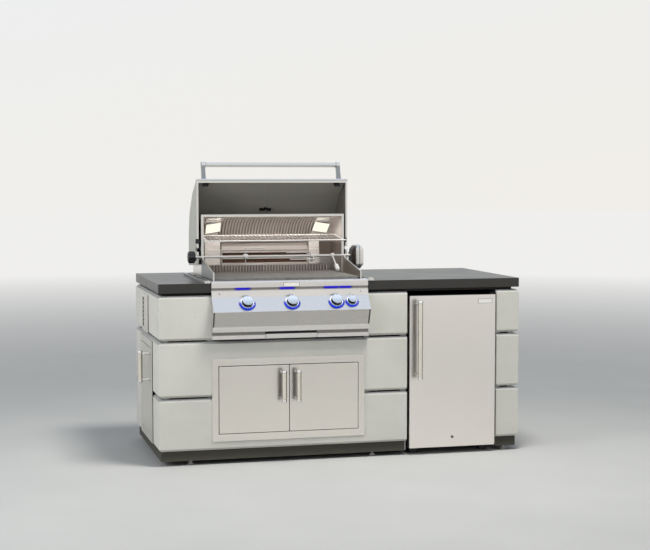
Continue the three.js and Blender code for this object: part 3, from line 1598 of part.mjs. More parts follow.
// The origin is the middle of the footprint, on the ground
const extent = new THREE.Box3().setFromObject(island, true);
island.position.x = -(extent.min.x + extent.max.x) / 2;
island.position.y = -(extent.min.y + extent.max.y) / 2;

const part = new THREE.Group();
part.add(island);

export default part;
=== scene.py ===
import json
import math

import bmesh
import bpy
from mathutils import Matrix, Vector

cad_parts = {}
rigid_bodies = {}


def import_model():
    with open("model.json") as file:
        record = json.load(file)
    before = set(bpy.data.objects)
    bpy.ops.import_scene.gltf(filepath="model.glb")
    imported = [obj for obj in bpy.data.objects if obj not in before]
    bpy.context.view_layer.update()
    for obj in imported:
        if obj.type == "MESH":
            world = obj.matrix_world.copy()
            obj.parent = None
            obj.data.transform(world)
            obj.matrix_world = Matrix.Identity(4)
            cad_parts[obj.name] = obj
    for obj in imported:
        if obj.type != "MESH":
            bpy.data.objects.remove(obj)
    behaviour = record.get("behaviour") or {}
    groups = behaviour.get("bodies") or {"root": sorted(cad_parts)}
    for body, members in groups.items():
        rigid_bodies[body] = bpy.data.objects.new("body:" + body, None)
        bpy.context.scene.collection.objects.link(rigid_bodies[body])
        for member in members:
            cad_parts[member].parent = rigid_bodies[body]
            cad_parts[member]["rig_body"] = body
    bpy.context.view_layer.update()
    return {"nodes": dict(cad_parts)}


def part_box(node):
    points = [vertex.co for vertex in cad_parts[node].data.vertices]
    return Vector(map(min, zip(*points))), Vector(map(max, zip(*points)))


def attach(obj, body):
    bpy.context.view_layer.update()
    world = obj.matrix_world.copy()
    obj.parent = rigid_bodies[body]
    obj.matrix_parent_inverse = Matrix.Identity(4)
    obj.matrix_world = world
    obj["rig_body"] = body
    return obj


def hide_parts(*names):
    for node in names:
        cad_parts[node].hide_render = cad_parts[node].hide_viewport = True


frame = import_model()

# Camera
# It stands where the photographer stood, to the left of the island and a little above
# the counter, and looks down by four degrees. Its place is taken from the slab's corner.
camera = bpy.data.objects.new("camera", bpy.data.cameras.new("camera"))
bpy.context.collection.objects.link(camera)
camera.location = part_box("countertop")[0] + Vector((-1.0689, -7.5474, 0.6085))
camera.rotation_euler = (math.radians(90 - 3.849), 0, math.radians(-14.595))
camera.data.lens = 80.92
bpy.context.scene.camera = camera


# Studio
# A plain pale floor that fades into a pale sky, two large soft lamps in front and one
# above. The two classes write every finish in this file as nodes.
class Term:
    """A socket in sums: each operator adds the Math node that it stands for."""

    def __init__(self, finish, socket):
        self.finish = finish
        self.socket = socket

    def sum_of(self, operation, *values):
        return self.finish.node("ShaderNodeMath", {"operation": operation}, dict(enumerate(values)))

    def operator(operation):
        """The method with the term on the left of its sign, then the one for the right."""
        return (lambda self, other: self.sum_of(operation, self, other),
                lambda self, other: self.sum_of(operation, other, self))

    __add__, __radd__ = operator("ADD")
    __sub__, __rsub__ = operator("SUBTRACT")
    __mul__, __rmul__ = operator("MULTIPLY")
    __lt__, __gt__ = operator("LESS_THAN")

    def __abs__(self):
        return self.sum_of("ABSOLUTE", self)

    def within(self, low, high):
        """0 below low, 1 above high, and even in between."""
        return self.finish.node("ShaderNodeMapRange", {"clamp": True}, {0: self, 1: low, 2: high})


class Finish:
    """A node tree round one shader, whose own sockets hold what is the same all over."""

    def __init__(self, name, owner=None, **constants):
        self.data = owner or bpy.data.materials.new(name)
        self.data.use_nodes = True
        self.tree = self.data.node_tree
        self.shader = self.tree.nodes.get("Principled BSDF")
        for words, value in constants.items():
            self.shader.inputs[words.replace("_", " ").title().replace("Ior", "IOR")].default_value = value

    def node(self, kind, settings=None, sockets=None, out=0):
        """Adds any node: its settings first, then the values or links of its sockets."""
        made = self.tree.nodes.new(kind)
        for word, value in (settings or {}).items():
            setattr(made, word, value)
        for which, value in (sockets or {}).items():
            if isinstance(value, Term):
                self.tree.links.new(value.socket, made.inputs[which])
            else:
                made.inputs[which].default_value = value
        return Term(self, made.outputs[out])

    def set(self, socket, term, shader=None):
        self.tree.links.new(term.socket, (shader or self.shader).inputs[socket])

    def place(self, kind="Object"):
        return self.node("ShaderNodeTexCoord", out=kind)

    def axis(self, letter, kind="Object"):
        """One axis of the surface's place, or of the way that it faces."""
        return self.node("ShaderNodeSeparateXYZ", None, {0: self.place(kind)}, letter)

    def at(self, across=1, along=1, up=1):
        """Object coordinates, stretched along each axis."""
        return self.node("ShaderNodeMapping", None, {"Vector": self.place(), "Scale": (across, along, up)})

    def noise(self, scale, detail=2, place=None, rough=0.5):
        sockets = {"Vector": place or self.at(), "Scale": scale, "Detail": detail, "Roughness": rough}
        return self.node("ShaderNodeTexNoise", None, sockets)

    def cells(self, scale):
        return self.node("ShaderNodeTexVoronoi", None, {"Vector": self.at(), "Scale": scale})

    def distance(self, point):
        sockets = {0: self.place(), 1: point}
        return self.node("ShaderNodeVectorMath", {"operation": "DISTANCE"}, sockets, "Value")

    def mix(self, share, first, second):
        """One colour painted over another by a share."""
        first, second = ((*c, 1) if isinstance(c, tuple) else c for c in (first, second))
        return self.node("ShaderNodeMix", {"data_type": "RGBA"}, {0: share, 6: first, 7: second}, 2)

    def tones(self, share, first, second):
        """The same from two colours as they are seen, out of 255."""
        return self.mix(share, tone(*first), tone(*second))

    def colour(self, share, first, second):
        self.set("Base Color", self.tones(share, first, second))

    def dent(self, height, depth, strength=1.0):
        """Height in metres over the surface, through one Bump node."""
        self.set("Normal", self.node("ShaderNodeBump", None, {
            "Height": height, "Distance": depth, "Strength": strength}))


def tone(red, green, blue):
    """A colour as it is seen, out of 255, as the shader wants it."""
    return tuple((c / 255 / 12.92 if c <= 10 else ((c / 255 + 0.055) / 1.055) ** 2.4)
                 for c in (red, green, blue))


floor_shape = bmesh.new()
bmesh.ops.create_circle(floor_shape, cap_ends=True, segments=96, radius=60)
floor_mesh = bpy.data.meshes.new("floor")
floor_shape.to_mesh(floor_mesh)
floor_shape.free()
floor = bpy.data.objects.new("floor", floor_mesh)
bpy.context.collection.objects.link(floor)
paving = Finish("paving", roughness=0.8)
paving.colour(paving.noise(1.6, 5), (158, 158, 156), (170, 170, 167))
paving_far = paving.node("ShaderNodeEmission", None, {"Color": (0.87, 0.865, 0.85, 1)})
paving_mix = paving.node("ShaderNodeMixShader", None, {
    0: paving.distance((0, 0, 0)).within(2.5, 15), 1: Term(paving, paving.shader.outputs[0]), 2: paving_far})
paving.set("Surface", paving_mix, paving.tree.nodes["Material Output"])
floor_mesh.materials.append(paving.data)

sky = Finish("sky", bpy.context.scene.world or bpy.data.worlds.new("sky"))
bpy.context.scene.world = sky.data
sky_low = sky.mix(sky.axis("X", "Generated").within(-0.5, 0.9), (0.86, 0.87, 0.87), (0.89, 0.85, 0.78))
sky_colour = sky.mix(sky.axis("Z", "Generated").within(0.0, 0.7), sky_low, (0.76, 0.85, 0.98))
sky_rays = [sky.node("ShaderNodeLightPath", out=ray)
            for ray in ("Is Camera Ray", "Is Glossy Ray", "Is Transmission Ray")]
sky_light, sky_shown = (sky.node("ShaderNodeBackground", None, {"Color": sky_colour, "Strength": strength})
                        for strength in (0.5, 1.0))
sky.set("Surface", sky.node("ShaderNodeMixShader", None, {
    0: sum(sky_rays).within(0, 1), 1: sky_light, 2: sky_shown}), sky.tree.nodes["World Output"])


def area_lamp(name, place, away, size, watts, colour):
    """A square lamp that no metal mirrors. It shines against the way that away points."""
    lamp = bpy.data.lights.new(name, "AREA")
    lamp.size = size
    lamp.energy = watts
    lamp.color = colour
    holder = bpy.data.objects.new(name, lamp)
    bpy.context.collection.objects.link(holder)
    holder.location = place
    holder.visible_glossy = False
    holder.rotation_euler = Vector(away).to_track_quat("Z", "Y").to_euler()
    return lamp


area_lamp("soft_front", (1.6, -5.2, 2.6), (1.5, -4.9, 2.1), 3.0, 8, (1, 0.98, 0.95))
area_lamp("soft_left", (-4.6, -2.0, 2.4), (-4.0, -2.0, 1.8), 2.6, 126, (0.98, 0.98, 1))
area_lamp("soft_top", (0.45, -1.38, 4.5), (0.35, -0.98, 3.9), 1.2, 250, (1, 0.98, 0.94))
bpy.context.scene.view_settings.view_transform = "Standard"


# Counter slab
# One dark honed slab, 50 mm thick, cut out in front for the grill. Its arrises are
# eased by hand and its face shows small voids, so its edges get a narrow bevel.
def shown(name, shape, finish, body="root", replaces=(), crease=34):
    """Turns a shape into a finished piece that rides on a body of the frame."""
    mesh = bpy.data.meshes.new(name)
    for face in shape.faces:
        face.smooth = True
    shape.to_mesh(mesh)
    shape.free()
    for word in ("custom_normal", "sharp_edge"):
        if word in mesh.attributes:
            mesh.attributes.remove(mesh.attributes[word])
    mesh.set_sharp_from_angle(angle=math.radians(crease))
    for one in finish if isinstance(finish, list) else [finish]:
        mesh.materials.append(one.data)
    piece = bpy.data.objects.new(name, mesh)
    bpy.context.collection.objects.link(piece)
    piece.modifiers.new("even_shading", "WEIGHTED_NORMAL").keep_sharp = True
    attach(piece, body)
    if replaces:
        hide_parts(*replaces)


def instead_of(node, shape, finish):
    """Shows a shape in place of a frame node, on the node's own body."""
    shown(node + "_finished", shape, finish, frame["nodes"][node]["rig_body"], [node])


def eased(shape, width, segments=2, longest=0.0):
    """Bevels the outward edges that are sharper than 28 degrees, or the long ones of them."""
    edges = [e for e in shape.edges if len(e.link_faces) == 2 and e.is_convex
             and e.calc_face_angle(0) > math.radians(28) and e.calc_length() > longest]
    bmesh.ops.bevel(shape, geom=edges, offset=width, segments=segments, profile=0.5,
                    affect="EDGES", clamp_overlap=True, material=-1)
    return shape


def from_frame(node, paint=None):
    """A frame node's mesh as one clean shape: doubles merged, flat faces made whole."""
    shape = bmesh.new()
    shape.from_mesh(frame["nodes"][node].data)
    bmesh.ops.remove_doubles(shape, verts=shape.verts, dist=2e-6)
    bmesh.ops.dissolve_limit(shape, angle_limit=math.radians(0.5), verts=shape.verts, edges=shape.edges)
    if paint:
        for face in shape.faces:
            face.material_index = paint(face.calc_center_median(), face.normal)
    return shape


def refined(node, finish, width, segments=2, paint=None):
    """A frame node shown with eased edges in its place."""
    instead_of(node, eased(from_frame(node, paint), width, segments), finish)


stone = Finish("honed_dark_stone", specular_ior_level=0.62)
stone_cloud = stone.noise(5, 6)
stone_grain = stone.noise(420, 3)
stone_voids = (stone.cells(34) < 0.05) * (stone.noise(9) > 0.5)
stone_body = stone.tones(stone_cloud * 0.6 + stone_grain * 0.4, (26, 25, 22), (41, 39, 34))
stone.set("Base Color", stone.mix(stone_voids, stone_body, tone(14, 13, 12)))
stone.set("Roughness", stone_cloud * 0.14 + stone_grain * 0.12 + 0.2)
stone.dent(stone_grain * 0.3 - stone_voids, 0.0006, 0.4)
refined("countertop", stone, 0.0022, 3)


# Board under the slab
# A dark fibre-cement board, set back from the faces so that a shadow line shows under
# the slab. It is glued to the frame's top rails and sanded at the edge.
def mottled(name, grain, dark, pale, rough=None, dent=None, stretch=(1, 1, 1), **constants):
    """A finish in two tones of one noise, which can drive its roughness and dents as well."""
    made = Finish(name, **constants)
    noise = made.noise(*grain, made.at(*stretch))
    made.colour(noise, dark, pale)
    if rough:
        made.set("Roughness", noise * rough[0] + rough[1])
    if dent:
        made.dent(noise, *dent)
    return made


board = mottled("dark_fibre_board", (90, 4), (34, 33, 31), (52, 50, 47), None, (0.0004, 0.5), (1, 1, 6),
                roughness=0.9)
refined("counter_subframe", board, 0.0008)


# Frame inside the island
# Square aluminium tubes, welded and left as they came from the mill. They show through
# the doors and under the plinth, with dull streaks along the tube and a grey weld haze.
tube = Finish("mill_finish_tube", metallic=1.0)
tube_streak = tube.noise(3, 4, tube.at(60, 60, 60))
tube_haze = tube.noise(7, 3)
tube.colour(tube_haze, (150, 152, 154), (178, 179, 180))
tube.set("Roughness", tube_streak * 0.2 + tube_haze * 0.2 + 0.3)
tube.dent(tube_streak, 0.0002, 0.3)
refined("island_frame", tube, 0.0015)


# Plinth and levelling feet
# A painted board runs round the foot of the island, open where the fridge stands. Six
# plated feet stand under it: a pressed disc, a threaded stem and a lock nut.
plinth_paint = Finish("plinth_board_paint", specular_ior_level=0.2, roughness=0.7)
plinth_scuff = plinth_paint.noise(24, 5, plinth_paint.at(1, 1, 3))
plinth_dust = (0.055 - plinth_paint.axis("Z")).within(0, 0.04) * plinth_scuff
plinth_paint.colour(plinth_dust, (64, 62, 55), (92, 90, 82))
plinth_paint.set("Roughness", plinth_scuff * 0.3 + 0.5)
plinth_paint.dent(plinth_scuff, 0.0003, 0.4)
refined("plinth", plinth_paint, 0.0015)


def moved(shape, *steps):
    """A shape put through turns and shifts, the first one first."""
    for step in steps:
        bmesh.ops.transform(shape, matrix=step, verts=shape.verts)
    return shape


def shift(x, y, z):
    return Matrix.Translation((x, y, z))


def turn(degrees, axis):
    return Matrix.Rotation(math.radians(degrees), 4, axis)


def turned(profile, sides=32):
    """A shape spun about Z from (radius, height) points, the lowest first, closed at the axis."""
    if profile[0][0]:
        profile = [(0, profile[0][1]), *profile]
    if profile[-1][0]:
        profile = [*profile, (0, profile[-1][1])]
    shape = bmesh.new()
    corners = [shape.verts.new((radius, 0, height)) for radius, height in profile]
    edges = [shape.edges.new(pair) for pair in zip(corners, corners[1:])]
    bmesh.ops.spin(shape, geom=corners + edges, cent=(0, 0, 0), axis=(0, 0, 1), dvec=(0, 0, 0),
                   angle=math.tau, steps=sides, use_merge=True, use_normal_flip=False)
    bmesh.ops.remove_doubles(shape, verts=shape.verts, dist=1e-6)
    bmesh.ops.recalc_face_normals(shape, faces=shape.faces)
    return shape


def disc(radius, low, high, sides):
    return turned([(radius, low), (radius, high)], sides)


def kind(index, shape):
    """Gives a shape one of the finishes of its piece."""
    for face in shape.faces:
        face.material_index = index
    return shape


def together(shapes):
    """Several shapes as one, each free of the others."""
    whole = bmesh.new()
    for shape in shapes:
        carrier = bpy.data.meshes.new("carrier")
        shape.to_mesh(carrier)
        shape.free()
        whole.from_mesh(carrier)
        bpy.data.meshes.remove(carrier)
    return whole


def bar(start, end, radius, sides=20, ease=0.0):
    """A round bar between two points, its rims eased."""
    start, end = Vector(start), Vector(end)
    length = (end - start).length
    ease = min(ease, length / 3)
    rim = [(radius - ease, 0), (radius - 0.3 * ease, 0.3 * ease), (radius, ease)] if ease else [(radius, 0)]
    profile = rim + [(reach, length - height) for reach, height in rim[::-1]]
    heading = (end - start).to_track_quat("Z", "Y").to_matrix().to_4x4()
    return moved(turned(profile, sides), heading, shift(*start))


def block(low, high, ease=0.0, segments=2):
    """A rectangular shape between two corners, its edges eased."""
    low, high = Vector(low), Vector(high)
    shape = bmesh.new()
    bmesh.ops.create_cube(shape, size=1)
    bmesh.ops.scale(shape, vec=high - low, verts=shape.verts)
    bmesh.ops.translate(shape, vec=(low + high) / 2, verts=shape.verts)
    return eased(shape, ease, segments) if ease else shape


zinc = mottled("plated_steel", (260, 3), (206, 205, 200), (232, 231, 226), (0.2, 0.22), (0.0001, 0.3),
               metallic=0.25)
stem_foot, thread_step, thread_depth = 0.01, 0.0009, 0.0008
for end in ("front", "rear"):
    for part in ("left", "middle", "right"):
        node = f"levelling_foot_{end}_{part}"
        low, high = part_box(node)
        pad = turned([(0.0165, 0.0003), (0.0185, 0.0018), (0.0188, 0.004), (0.0165, 0.007),
                      (0.0095, 0.0095), (0.0075, 0.011)])
        heights = [stem_foot + thread_step * step for step in range(16)]
        stem = turned([(0.0052 + thread_depth * (step % 2), z) for step, z in enumerate(heights)], 20)
        nut = bmesh.new()
        bmesh.ops.create_cone(nut, cap_ends=True, segments=6, radius1=0.0098, radius2=0.0098, depth=0.005)
        moved(nut, shift(0, 0, 0.0185))
        foot = together([pad, stem, eased(nut, 0.0006)])
        moved(foot, shift((low.x + high.x) / 2, (low.y + high.y) / 2, 0))
        instead_of(node, foot, zinc)


# Cladding
# Cast panels of pale glass-fibre concrete, 25 mm thick, in three rows with sloping top
# and bottom edges. The casting leaves cloudy patches, fine sand and scattered pinholes.
cast = Finish("pale_cast_concrete", specular_ior_level=0.3)
cast_cloud = cast.noise(2.4, 6, rough=0.6)
cast_smear = cast.noise(3, 4, cast.at(1, 1, 5))
cast_sand = cast.noise(600, 2)
cast_holes = (cast.cells(26) < 0.045) * (cast.noise(7) > 0.5)
cast_pale = cast.tones(cast_cloud.within(0.3, 0.7) * 0.6 + cast_smear * 0.4, (189, 188, 180), (208, 206, 198))
cast_body = cast.mix(cast_sand.within(0.35, 0.65) * 0.12, cast_pale, tone(160, 160, 152))
# Painted shade: faces that look up are mixed towards a darker, bluer grey, against the light from above.
cast_up = cast.axis("Z", "Normal").within(0.25, 0.8)
cast_top_shaded = cast.mix(cast_up * 0.6, cast_body, tone(124, 128, 130))
cast.set("Base Color", cast.mix(cast_holes, cast_top_shaded, tone(112, 110, 102)))
cast.set("Roughness", cast_sand * 0.15 + cast_cloud * 0.1 + 0.68)
cast.dent(cast_sand * 0.12 + cast_cloud * 0.3 - cast_holes, 0.0009, 0.5)
for node in ("front_panel_top_left", "front_panel_top_right", "front_panel_middle", "front_panel_bottom",
             "left_panel_top", "left_panel_middle", "left_panel_bottom",
             "corner_panel_top", "corner_panel_middle", "corner_panel_bottom", "back_panel"):
    refined(node, cast, 0.0014)


# Vent plate
# A folded stainless plate in the left end lets gas out of the bay. Seven slots are cut
# in its sunk face, each with a pressed blade that keeps the rain out.
def brushed(name, colours, grind, rough=0.3, grain=1.0, metallic=1.0, satin=False):
    """Stainless steel with grinding lines, as fine as grind says along each axis."""
    steel = Finish(name, metallic=metallic)
    steel.line = steel.noise(1, 4, steel.at(*grind), 0.7)
    fine = steel.noise(3, 2, steel.at(*grind))
    hands = steel.noise(4, 4)
    if colours:
        steel.colour(steel.line * 0.6 + hands * 0.4, *colours)
    worn = steel.noise(2, 2) * 0.03 if satin else (
        (steel.line * 0.1 + fine * 0.06 - 0.08) * grain + hands * 0.08 - 0.04)
    steel.set("Roughness", worn + rough)
    steel.dent(steel.line * 0.5 + fine * 0.5, 0.00005, 0.12 * grain)
    return steel


along_x, along_y, upright = (6, 1200, 1200), (1200, 6, 1200), (1200, 1200, 6)
side_steel = brushed("side_brushed_stainless", ((196, 192, 182), (210, 206, 196)), along_y, 0.34,
                     metallic=0.5)
# Near black for dark joints, and as painted shade on edges, reveals, slots and gaps.
joint_dark_and_shade = mottled("dark_joint_and_painted_shade", (80, 2), (20, 20, 20), (40, 39, 38), roughness=0.8)
# The plate's edges that face the front are painted near black, as the shade line along them.
refined("side_vent_plate", [side_steel, joint_dark_and_shade], 0.0006, 2,
        lambda centre, normal: 1 if normal.y < -0.7 else 0)
vent_low, vent_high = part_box("side_vent_plate")
slot_edge, slot_count = 0.021, 7
slot_pitch = (vent_high.z - vent_low.z - 2 * slot_edge) / slot_count
blades = []
for row in range(slot_count):
    blade = block((-0.0006, -0.0962, -0.0108), (0.0006, 0.0962, 0.0108), 0.0003)
    z = vent_low.z + slot_edge + (row + 0.5) * slot_pitch
    moved(blade, turn(9, "Y"), shift(vent_low.x + 0.0062, (vent_low.y + vent_high.y) / 2, z))
    blades.append(blade)
shown("vent_blades", together(blades), side_steel)


# Access doors
# Each set has a flanged stainless frame screwed into the cladding and leaves on pins.
# A leaf is a folded pan 20 mm thick; in the double set a rolled edge covers the middle gap.
front_steel = brushed("door_brushed_stainless", ((237, 231, 223), (247, 242, 234)), along_x, 0.24, 0.25,
                      satin=True)


# Faces of the frame inside the opening, round the leaves, are painted near black as the shade in the gaps.
def in_shaded_reveal(centre, normal):
    inside = -0.656 < centre.x < 0.118 and 0.158 < centre.z < 0.528
    return 1 if inside and (normal.y > -0.5 or centre.y > -0.41) else 0


refined("double_door_frame", [front_steel, joint_dark_and_shade], 0.0009, 3, in_shaded_reveal)
# The side frame's front-facing edges and its top and bottom faces are painted near black as shade lines.
refined("side_door_frame", [side_steel, joint_dark_and_shade], 0.0009, 3,
        lambda centre, normal: 1 if normal.y < -0.7 or abs(normal.z) > 0.7 else 0)
refined("left_access_door", front_steel, 0.0014, 3)
refined("right_access_door", front_steel, 0.0014, 3)
refined("side_access_door", side_steel, 0.0014, 3)


# Bar handles
# A ground tube on two posts, closed at each end by a pressed and polished cap. The caps
# are a hair wider than the tube, and a dark joint line shows where they meet.
polish = mottled("polished_stainless", (60, 4), (205, 204, 202), (225, 224, 222), (0.1, 0.06),
                 (0.00005, 0.2), metallic=1.0)


def banded(name, metallic, dark, pale, rough):
    """Bright steel with a painted dark band down a round bar's right side and back, for its reflection and
    shade.
    """
    steel = Finish(name, metallic=metallic)
    grind = steel.noise(2, 4, steel.at(300, 300, 5))
    # Painted reflection and shade: faces turned to the right, or back towards the door, take the dark tone.
    away = steel.axis("X", "Normal").within(0.38, 0.66) + steel.axis("Y", "Normal").within(-0.46, -0.18)
    steel.set("Base Color", steel.mix(away.within(0, 1), steel.tones(grind, dark, pale), tone(74, 66, 57)))
    steel.set("Roughness", grind * 0.08 + rough)
    return steel


handle_steel = banded("handle_ground_stainless", 0.75, (226, 218, 204), (246, 240, 228), 0.24)
cap_steel = banded("handle_cap_stainless", 0.8, (240, 238, 232), (255, 254, 250), 0.12)


def bar_handle(node, outward):
    """A bar handle over a frame node; outward is the direction away from its door."""
    low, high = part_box(node)
    outward = Vector(outward)
    length = high.z - low.z
    wide = min(high.x - low.x, high.y - low.y) / 2
    narrow = wide - 0.0014
    foot = Vector(((low.x + high.x) / 2, low.y + wide, low.z))
    if outward.x:
        foot = Vector((low.x + wide, (low.y + high.y) / 2, low.z))
    cap = 0.016
    post_at = 0.022 if length > 0.4 else 0.016
    shapes = [disc(wide - 0.0008, cap, length - cap, 40)]
    for end, way in ((0, 1), (length, -1)):
        heights = [end + way * step for step in (0, 0.0004, 0.0022, 0.005, cap - 0.0012, cap - 0.0004, cap)]
        radii = [0, wide - 0.0045, narrow, wide, wide, wide - 0.0004, wide - 0.002]
        shapes.append(kind(1, turned([*zip(radii, heights)][::way], 40)))
        shapes.append(kind(2, disc(narrow, *sorted((end + way * cap, end + way * (cap + 0.001))), 32)))
    for shape in shapes:
        moved(shape, shift(*foot))
    for z in (post_at, length - post_at):
        start = foot + Vector((0, 0, z))
        reach = ((high.x - start.x) if outward.x else (high.y - start.y)) - 0.0002
        end = start - outward * reach
        shapes.append(kind(1 if outward.x else 3, bar(start, end, 0.0075, 28, 0.0006)))
        shapes.append(kind(3, bar(end, end + outward * 0.004, 0.0098, 28, 0.0012)))
    instead_of(node, together(shapes), [handle_steel, cap_steel, joint_dark_and_shade, polish])


bar_handle("left_door_handle", (0, -1, 0))
bar_handle("right_door_handle", (0, -1, 0))
bar_handle("side_door_handle", (-1, 0, 0))
bar_handle("fridge_handle", (0, -1, 0))


# Fridge cabinet
# A compact outdoor fridge: a black painted shell round a pale moulded liner, on four
# legs, with a coated wire shelf that lies on two ledges and hinge plates at the right.
shell_paint = Finish("black_shell_paint", roughness=0.5)
shell_peel = shell_paint.noise(700, 2)
shell_paint.colour(shell_paint.noise(6, 4), (22, 22, 23), (34, 34, 35))
shell_paint.set("Roughness", shell_peel * 0.2 + 0.38)
shell_paint.dent(shell_peel, 0.0002, 0.4)
liner_plastic = mottled("pale_moulded_liner", (5, 3), (214, 216, 217), (226, 228, 228), (0.15, 0.28))
cabinet_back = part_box("fridge_cabinet")[1].y


def in_liner(centre, normal):
    inside = abs(centre.x - 0.652) < 0.2205 and 0.0635 < centre.z < 0.849
    return 1 if inside and -0.3735 < centre.y < cabinet_back - 0.0255 else 0


refined("fridge_cabinet", [shell_paint, liner_plastic], 0.0015, 2, in_liner)


def rod_x(x0, x1, y, z, radius, sides, ease=0.0):
    """A bar that runs along X."""
    return bar((x0, y, z), (x1, y, z), radius, sides, ease)


shelf_low, shelf_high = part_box("fridge_shelf")
stay, shelf_wires = 0.003, 26
wires = [rod_x(shelf_low.x, shelf_high.x, y, shelf_low.z + stay, stay, 12, 0.001)
         for y in (shelf_low.y + stay, (shelf_low.y + shelf_high.y) / 2, shelf_high.y - stay)]
for index in range(shelf_wires + 1):
    x = shelf_low.x + stay + index / shelf_wires * (shelf_high.x - shelf_low.x - 2 * stay)
    z = shelf_low.z + 0.0068
    wires.append(bar((x, shelf_low.y, z), (x, shelf_high.y, z), 0.0021, 10, 0.001))
wire_coat = mottled("white_wire_coating", (50, 3), (205, 206, 206), (226, 227, 227), roughness=0.3)
instead_of("fridge_shelf", together(wires), wire_coat)


# Fridge door
# A stainless wrapper folded round foam, with a moulded inner liner, two bottle racks and
# a magnetic gasket. A lock barrel sits at the foot, and a bare plate near the top corner.
fridge_steel = brushed("fridge_brushed_stainless", ((245, 238, 231), (255, 250, 244)), upright, 0.27, 0.25,
                       satin=True)
refined("fridge_door", fridge_steel, 0.0018, 3)
door_low, door_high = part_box("fridge_door")
door_foot, door_top, liner_edge = 0.038, 0.8745, 0.0055
inner_panel = block((door_low.x + liner_edge, -0.4168, door_foot + liner_edge),
                    (door_high.x - liner_edge, -0.3815, door_top - liner_edge))
inner_face = max(inner_panel.faces, key=lambda face: face.normal.y)
for thickness, rise in ((0.032, 0.01), (0.016, -0.014)):
    bmesh.ops.inset_region(inner_panel, faces=[inner_face], thickness=thickness, use_even_offset=True)
    bmesh.ops.translate(inner_panel, vec=(0, rise, 0), verts=inner_face.verts)
shown("fridge_door_liner", eased(inner_panel, 0.0015), liner_plastic, "fridge_door")

rubber = mottled("grey_rubber", (120, 3), (52, 52, 53), (70, 70, 71), roughness=0.6)


def ring_plate(low, high, band, ease):
    """A flat rectangular ring that faces along Y."""
    shape = block(low, high)
    faces = [face for face in shape.faces if abs(face.normal.y) > 0.9]
    for face in faces:
        bmesh.ops.inset_region(shape, faces=[face], thickness=band, use_even_offset=True)
    bmesh.ops.bridge_loops(shape, edges=[edge for face in faces for edge in face.edges])
    bmesh.ops.delete(shape, geom=faces, context="FACES_ONLY")
    bmesh.ops.recalc_face_normals(shape, faces=shape.faces)
    return eased(shape, ease)


seal = ring_plate((0.4095, -0.3813, 0.0445), (0.8855, -0.3749, 0.868), 0.011, 0.0018)
shown("fridge_door_seal", seal, rubber, "fridge_door")

rack_x0, rack_x1, rack_y0, rack_y1, rack_wall = 0.462, 0.839, -0.3855, -0.322, 0.0025
racks = []
for foot, height in ((0.125, 0.085), (0.435, 0.06), (0.66, 0.055)):
    racks.append(block((rack_x0, rack_y0, foot), (rack_x1, rack_y1, foot + 0.003), 0.001))
    racks.append(block((rack_x0, rack_y1 - rack_wall, foot), (rack_x1, rack_y1, foot + height / 2), 0.001))
    for x in (rack_x0, rack_x1 - rack_wall):
        racks.append(block((x, rack_y0, foot), (x + rack_wall, rack_y1, foot + height), 0.001))
    racks.append(rod_x(rack_x0 + 0.0005, rack_x1 - 0.0005, rack_y1 - 0.0035, foot + height, 0.003, 16, 0.001))
shown("fridge_door_racks", together(racks), liner_plastic, "fridge_door")

plate_paint = mottled("bare_plate", (3, 3), (240, 238, 230), (252, 250, 244), stretch=(6, 200, 200),
                      metallic=0.6, roughness=0.3)


def bare_plate(name, low, high, body):
    """A blank plate in a thin dark rim, glued on a face that looks along -Y."""
    low, high = Vector(low), Vector(high)
    inset = Vector((0.0015, 0, 0.0015))
    face = block(low + inset + Vector((0, 0.0003, 0)), high - inset, 0.0003)
    plate = together([ring_plate(low, high, 0.0016, 0.0004), kind(1, face)])
    shown(name, plate, [rubber, plate_paint], body)


bare_plate("fridge_bare_plate", (0.797, -0.4216, 0.8265), (0.879, -0.4203, 0.8515), "fridge_door")
lock_low, lock_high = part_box("fridge_lock")
lock = together([
    turned([(0.0055, -0.0185), (0.0055, -0.004), (0.0068, -0.003), (0.007, -0.0012),
            (0.0062, -0.0002), (0.0052, 0), (0.005, -0.001)], 28),
    kind(1, disc(0.0049, -0.0014, -0.0008, 28)),
    kind(2, block((-0.0007, -0.0028, -0.001), (0.0007, 0.0028, -0.0004), 0.0002)),
])
moved(lock, turn(90, "X"), shift((lock_low.x + lock_high.x) / 2, lock_low.y, (lock_low.z + lock_high.z) / 2))
instead_of("fridge_lock", lock, [joint_dark_and_shade, rubber, zinc])


# Firebox
# A welded stainless tub that hangs in the notch by its flanges. Its guards rise above
# the counter at the sides, and a slotted hanger rail lies along each flange.
grill_x = -0.262
outer_steel = brushed("outer_brushed_stainless", ((226, 223, 218), (238, 235, 230)), along_x)
# Darker in its lower part, below a height of 1.14 to 1.19 m.
inner_steel = brushed("inner_stainless_darker_below", None, (5, 400, 400), 0.4, metallic=0.45)
inner_steel.set("Base Color", inner_steel.mix(
    inner_steel.axis("Z").within(1.14, 1.19),
    inner_steel.tones(inner_steel.line, (128, 117, 109), (158, 146, 137)),
    inner_steel.tones(inner_steel.line, (216, 208, 201), (236, 229, 223))))
tub_steel = brushed("sooted_stainless", ((88, 80, 74), (130, 121, 114)), (5, 200, 200), 0.45)
# A darker copy of the outer steel for side faces, as painted shade.
hood_side_shade = brushed("side_stainless", ((184, 184, 176), (198, 198, 190)), along_y, 0.45)
shade_steel = brushed("shaded_side_stainless", ((150, 152, 150), (172, 174, 172)), along_y, 0.45)
guard_steel = brushed("smoked_guard_stainless", ((172, 164, 154), (202, 193, 182)), (5, 200, 200), 0.42)
tub_half, guard_foot = 0.4, 0.968


